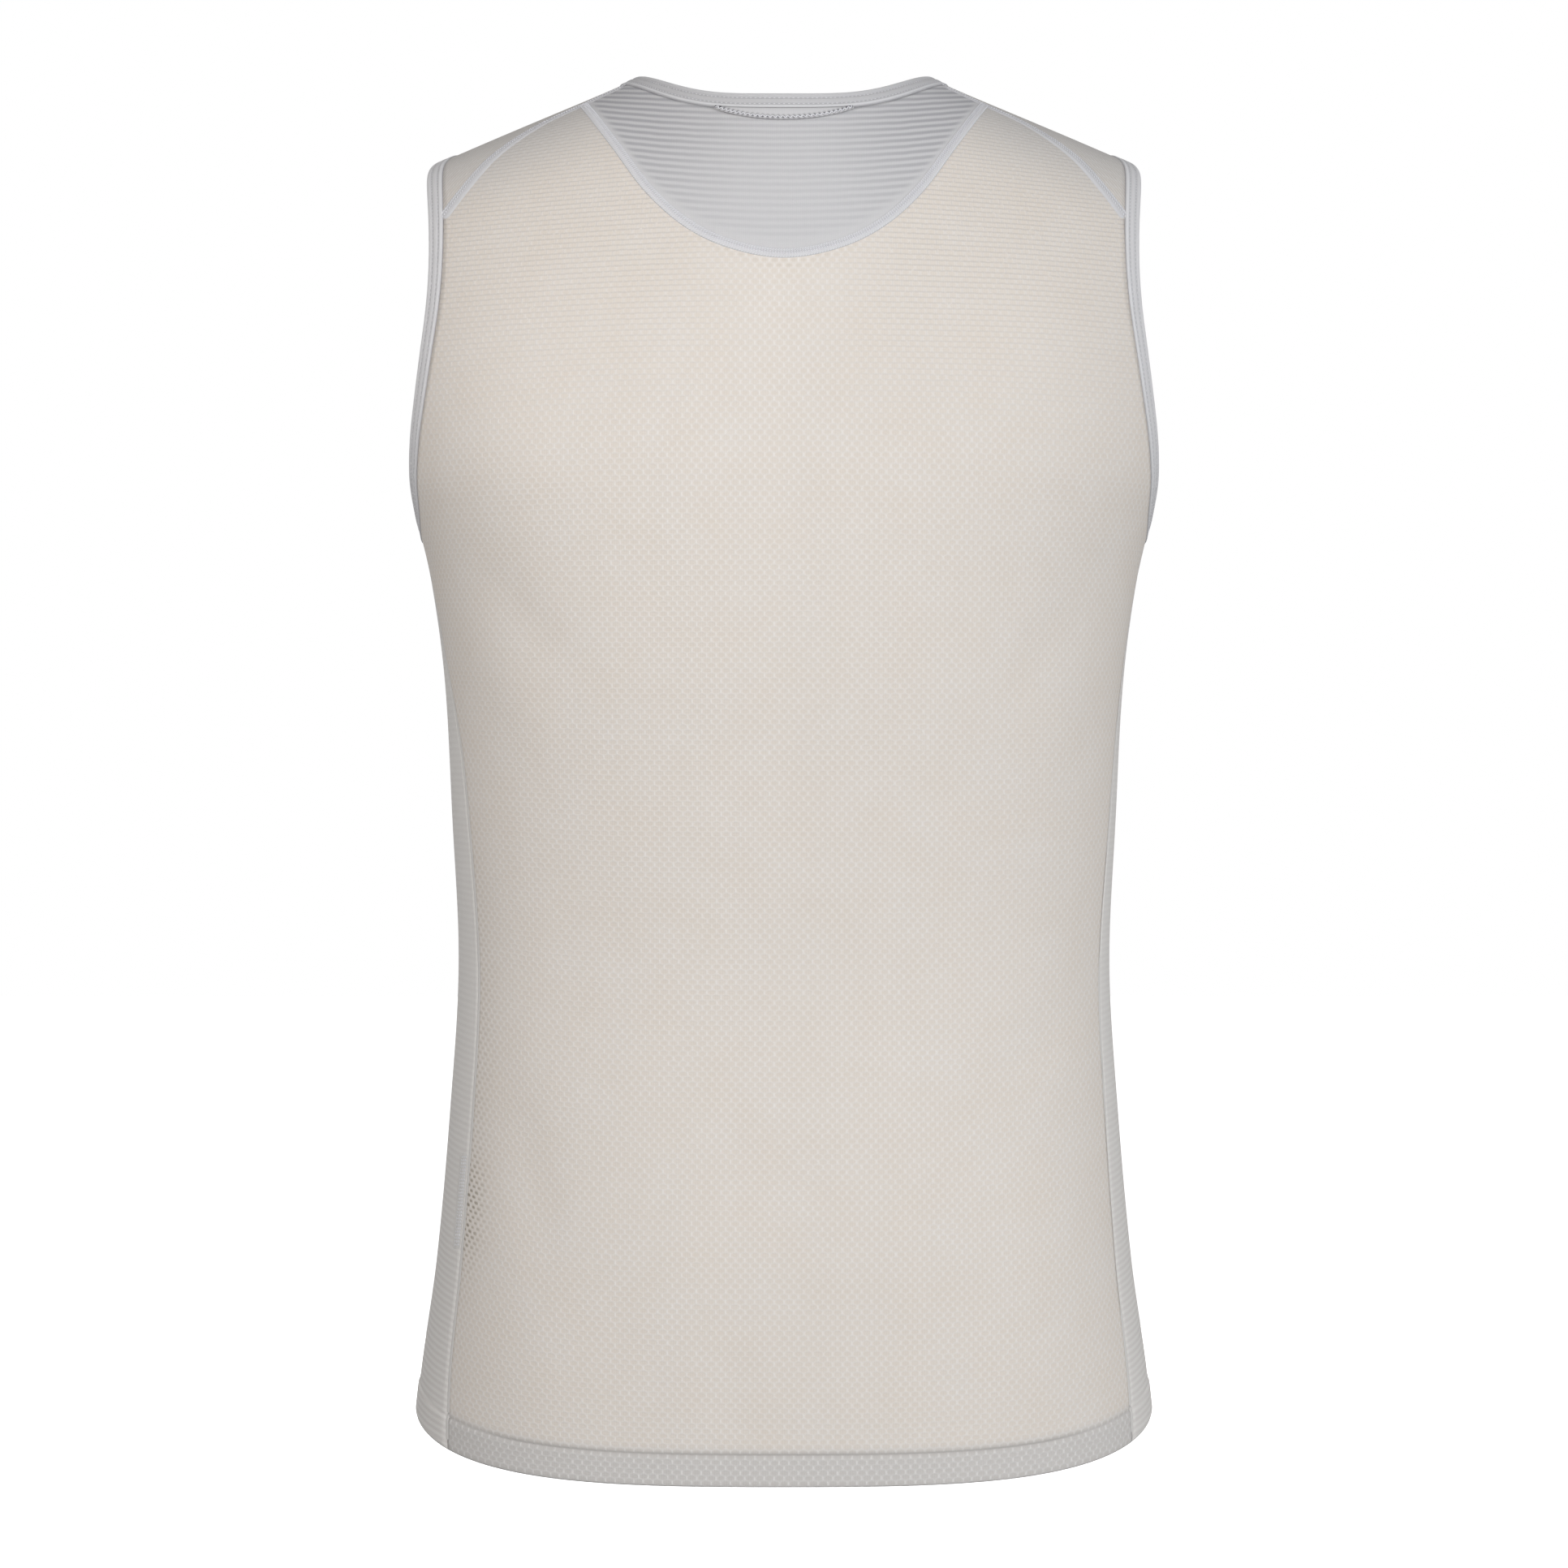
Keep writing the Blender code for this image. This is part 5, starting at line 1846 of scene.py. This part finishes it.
@dataclass(frozen=True)
class Studio:
    """The pale floor, the soft lights and the camera."""

    distance: float = 2.6
    height: float = -0.332
    span: float = 0.7458
    sensor: float = 0.036
    floor_height: float = -0.90
    floor_size: float = 24.0
    floor_grey: float = 0.50
    floor_glow: float = 1.0
    sky: float = 0.53
    zenith: float = 0.34
    nadir: float = 0.40

    def build(self) -> None:
        """Sets up the studio."""
        self.camera()
        self.world()
        self.floor()
        for lamp in LAMPS:
            self.light(lamp)
        scene = bpy.context.scene
        scene.view_settings.view_transform = "Standard"
        scene.view_settings.look = "None"

    def camera(self) -> None:
        """The camera behind the garment, level, at its middle."""
        camera = bpy.data.cameras.new("camera")
        camera.sensor_width = self.sensor * 1000
        camera.lens = self.sensor * 1000 * self.distance / self.span
        camera.clip_start = 0.05
        camera.dof.use_dof = False
        bpy.context.scene.camera = self.aimed("camera", camera, (0.0, self.distance, self.height))

    def world(self) -> None:
        """White round the garment to the eye, and a softer light from all sides, least from above."""
        world = bpy.data.worlds.new("studio")
        world.use_nodes = True
        chart = Chart(world.node_tree)
        direction = chart.node("ShaderNodeTexCoord").outputs["Generated"]
        up = chart.node("ShaderNodeSeparateXYZ", {0: direction}).outputs[2]
        high = chart.ramp(up, 0.0, 0.6, self.sky, self.zenith)
        low = chart.ramp(up, -0.7, 0.0, self.nadir / self.sky, 1.0)
        strength = chart.math("MULTIPLY", high, low)
        seen = chart.node("ShaderNodeLightPath").outputs["Is Camera Ray"]
        unseen = chart.math("SUBTRACT", 1.0, seen)
        shown = chart.math("MULTIPLY_ADD", unseen, strength, seen)
        background = chart.node("ShaderNodeBackground", {"Color": (1.0, 1.0, 1.0, 1.0), "Strength": shown})
        chart.node("ShaderNodeOutputWorld", {"Surface": background.outputs[0]})
        bpy.context.scene.world = world

    def floor(self) -> None:
        """A plain pale floor below the garment."""
        select()
        bpy.ops.mesh.primitive_plane_add(size=self.floor_size, location=(0.0, 0.0, self.floor_height))
        floor = bpy.context.object
        floor.name = "floor"
        material, chart, shader = new_material("floor")
        coords = chart.node("ShaderNodeTexCoord").outputs["Object"]
        shade = chart.sway(coords, 3.0, 4.0)
        chart.feed(shader.inputs["Base Color"], chart.grey(shade, 0.04, self.floor_grey))
        shader.inputs["Roughness"].default_value = 0.9
        seen = chart.node("ShaderNodeLightPath").outputs["Is Camera Ray"]
        shader.inputs["Emission Color"].default_value = (1.0, 1.0, 1.0, 1.0)
        glow = chart.math("MULTIPLY", seen, self.floor_glow)
        chart.feed(shader.inputs["Emission Strength"], glow)
        floor.data.materials.append(material)

    def light(self, lamp: Lamp) -> None:
        """A soft square light, out of the camera's sight."""
        light = bpy.data.lights.new(lamp.name, "AREA")
        light.size = lamp.size
        light.energy = lamp.power
        light.color = lamp.tint
        self.aimed(lamp.name, light, lamp.place).visible_camera = False

    def aimed(self, name: str, data: bpy.types.ID, place: tuple[float, float, float]) -> Piece:
        """A camera or a light at its place, aimed at the garment's middle."""
        holder = bpy.data.objects.new(name, data)
        holder.location = place
        x, y, z = (float(value) for value in np.array((0.0, 0.0, self.height)) - np.array(place))
        holder.rotation_euler = (math.atan2(math.hypot(x, y), -z), 0.0, math.atan2(y, x) - QUARTER_TURN)
        bpy.context.collection.objects.link(holder)
        return holder


@dataclass
class BaseLayer:
    """The whole garment, built piece by piece."""

    yoke_rows: tuple[float, ...] = (0.0017, 0.0009, 0.0001, -0.0007, -0.0015)
    shoulder_rows: tuple[float, ...] = (-0.0004, -0.0022)
    opened_rows: tuple[float, ...] = (0.0030, 0.0016, 0.0002, -0.0012)
    opened_stretch: tuple[float, float] = (0.508, 0.556)
    opened_aside: float = -0.0052
    row_inset: float = 0.003

    def __post_init__(self) -> None:
        """Makes what its pieces share."""
        self.wardrobe = Wardrobe.filled()
        self.halves = Panels(Side.LEFT), Panels(Side.RIGHT)
        self.body = Body(self.wardrobe, self.halves)
        self.bindings = Bindings(self.wardrobe)
        self.lay = KnitLay()

    def cloth(self) -> None:
        """The panels."""
        back = self.body.mesh_panel("back", Panels.back_zones, self.lay.back_lay)
        front = self.body.mesh_panel("front", Panels.front_zones, self.lay.front_lay)
        yoke = self.body.yoke(self.lay)
        for half in self.halves:
            side = self.body.side_panel(half, self.lay)

    def trim(self) -> None:
        """The bindings and the tab."""

        def fan(turn: Array) -> Array:
            """The neck binding's small folds, either side of the centre back."""
            away = np.abs((turn + 180.0) % 360.0 - 180.0)
            return 0.00010 * np.sin(turn * 2.9) * bell(away - 62.0, 14.0)

        def pressed(turn: Array) -> Array:
            """The armhole binding, pressed flatter under the arm."""
            return -0.00045 * bell(turn - 175.0, 38.0)

        strip, stitching = self.bindings.strip, self.bindings.stitching
        neck = strip("neck_band", "neck_binding", "binding knit", FORM.neck_edge, Side.LEFT, fan)
        sewing = stitching("neck_band_stitches", FORM.neck_edge, Side.LEFT)
        for side in Side:
            name, node = "armhole_band_" + side.word, "armhole_binding_" + side.word
            band = strip(name, node, "arm binding", FORM.armhole_edge, side, pressed)
            sewing = stitching(name + "_stitches", FORM.armhole_edge, side)
        tab = NeckTab(self.wardrobe)
        crescent = tab.make(self.body.wall)
        sewing = [tab.zigzag(self.body.wall)]
        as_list(sewing)

    def seams(self) -> None:
        """The flat seams of the yoke and the shoulders."""
        corner = YOKE_CORNER.across
        yoke = Flatlock(self.wardrobe, 0.0046)

        def yoke_line(x: Array) -> Array:
            """The whole yoke seam, by x."""
            left = FORM.yoke_seam(np.abs(x))
            return np.where((x < 0)[..., None], Side.RIGHT.placed(left), left)

        yoke.band_piece("yoke_seam", yoke_line, -corner, corner, (Side.LEFT,))
        yoke.sew("yoke_seam_stitches", yoke.stitch_rows(yoke_line, -corner, corner, self.yoke_rows))
        shoulder = Flatlock(self.wardrobe, 0.0068, band=0.00015, ridge=0.00016)
        start = float(FORM.neck_line(np.array(self.halves[0].neck_seam))[0])
        end = float(FORM.armhole_line(np.array(self.halves[0].arm_seam))[0]) + 0.0008
        shoulder.band_piece("shoulder_seams", FORM.shoulder_seam, start, end, tuple(Side))
        rows = shoulder.stitch_rows(FORM.shoulder_seam, start, end, self.shoulder_rows)
        shoulder.sew("shoulder_seam_stitches", rows + [mirrored_row(row) for row in rows])

    def side_seams(self) -> None:
        """The soft seams of the side panels, and the stretch of open stitching beside the left one."""
        soft = partial(Flatlock, self.wardrobe, ridge=0.0, finish="side band")
        seam = soft(0.0022, band=0.00004)
        for half, face, column, turn in self.side_seam_places():
            top = float(FORM.down_of(FORM.armhole_line(np.array(turn), half.seam_gap))) + 0.0004
            name = f"side_seam_{face}_{half.side.word}"
            seam.band_piece(name, self.seam_curve(column), top, self.lowest(column), (half.side,))
        foot = soft(0.0022, cloth=0.0012, band=0.00004)
        for half, face, column, _ in self.side_seam_places():
            last = self.lowest(column) - 0.0004
            first = last - self.body.hem_depth + 0.0008
            name = f"hem_seam_{face}_{half.side.word}"
            foot.band_piece(name, self.seam_curve(column), first, last, (half.side,))
        side = soft(0.0086, band=0.00010, stitch_pitch=0.0015)
        curve = self.seam_curve("back_left", self.opened_aside)
        first, last = self.opened_stretch
        side.band_piece("side_stitching", curve, first, last, (Side.LEFT,))
        rows = side.stitch_rows(curve, first + self.row_inset, last - self.row_inset, self.opened_rows)
        side.sew("side_stitching_stitches", rows)

    def side_seam_places(self) -> list[tuple[Panels, str, str, float]]:
        """Each side seam's half, face, column in SIDE_SEAMS and turn at the armhole."""
        return [
            place
            for half in self.halves
            for place in (
                (half, "back", half.back_column, half.back_chest[0]),
                (half, "front", "front", half.front_chest[0]),
            )
        ]

    def seam_curve(self, column: str, past: float = 0.0) -> Curve:
        """A side seam by its height, or beside it."""

        def curve(down: Array) -> Array:
            """The seam's points at heights."""
            foot = FORM.hem_down(self.bearing(column))
            levels = 1.0 + (down - FORM.underarm) / (foot - FORM.underarm)
            levels = np.where(down < FORM.underarm, self.upper_level(down), levels)
            return FORM.spot_point(FORM.side_seam(levels, column, past))

        return curve

    def bearing(self, column: str) -> Array:
        """About where a side seam meets the hem."""
        return np.array(120.0 if column == "front" else 60.0)

    def upper_level(self, down: Array) -> Array:
        """The level of a height just above the underarm, at the side."""
        ridge = FORM.ridge(0.165)
        share = np.clip((FORM.underarm - down) / (FORM.underarm - ridge), 0.0, 1.0)
        return np.arccos(share) / QUARTER_TURN

    def lowest(self, column: str) -> float:
        """The height of the side seam's foot, just above the hem's edge."""
        return float(FORM.hem_down(self.bearing(column))) - 0.0012


def main() -> None:
    """Builds the studio and the garment, and reports each piece."""
    logging.basicConfig(level=logging.INFO, format="%(name)s %(message)s")
    Studio().build()
    garment = BaseLayer()
    garment.cloth()
    garment.trim()
    garment.seams()
    garment.side_seams()


if __name__ == "__main__":
    main()
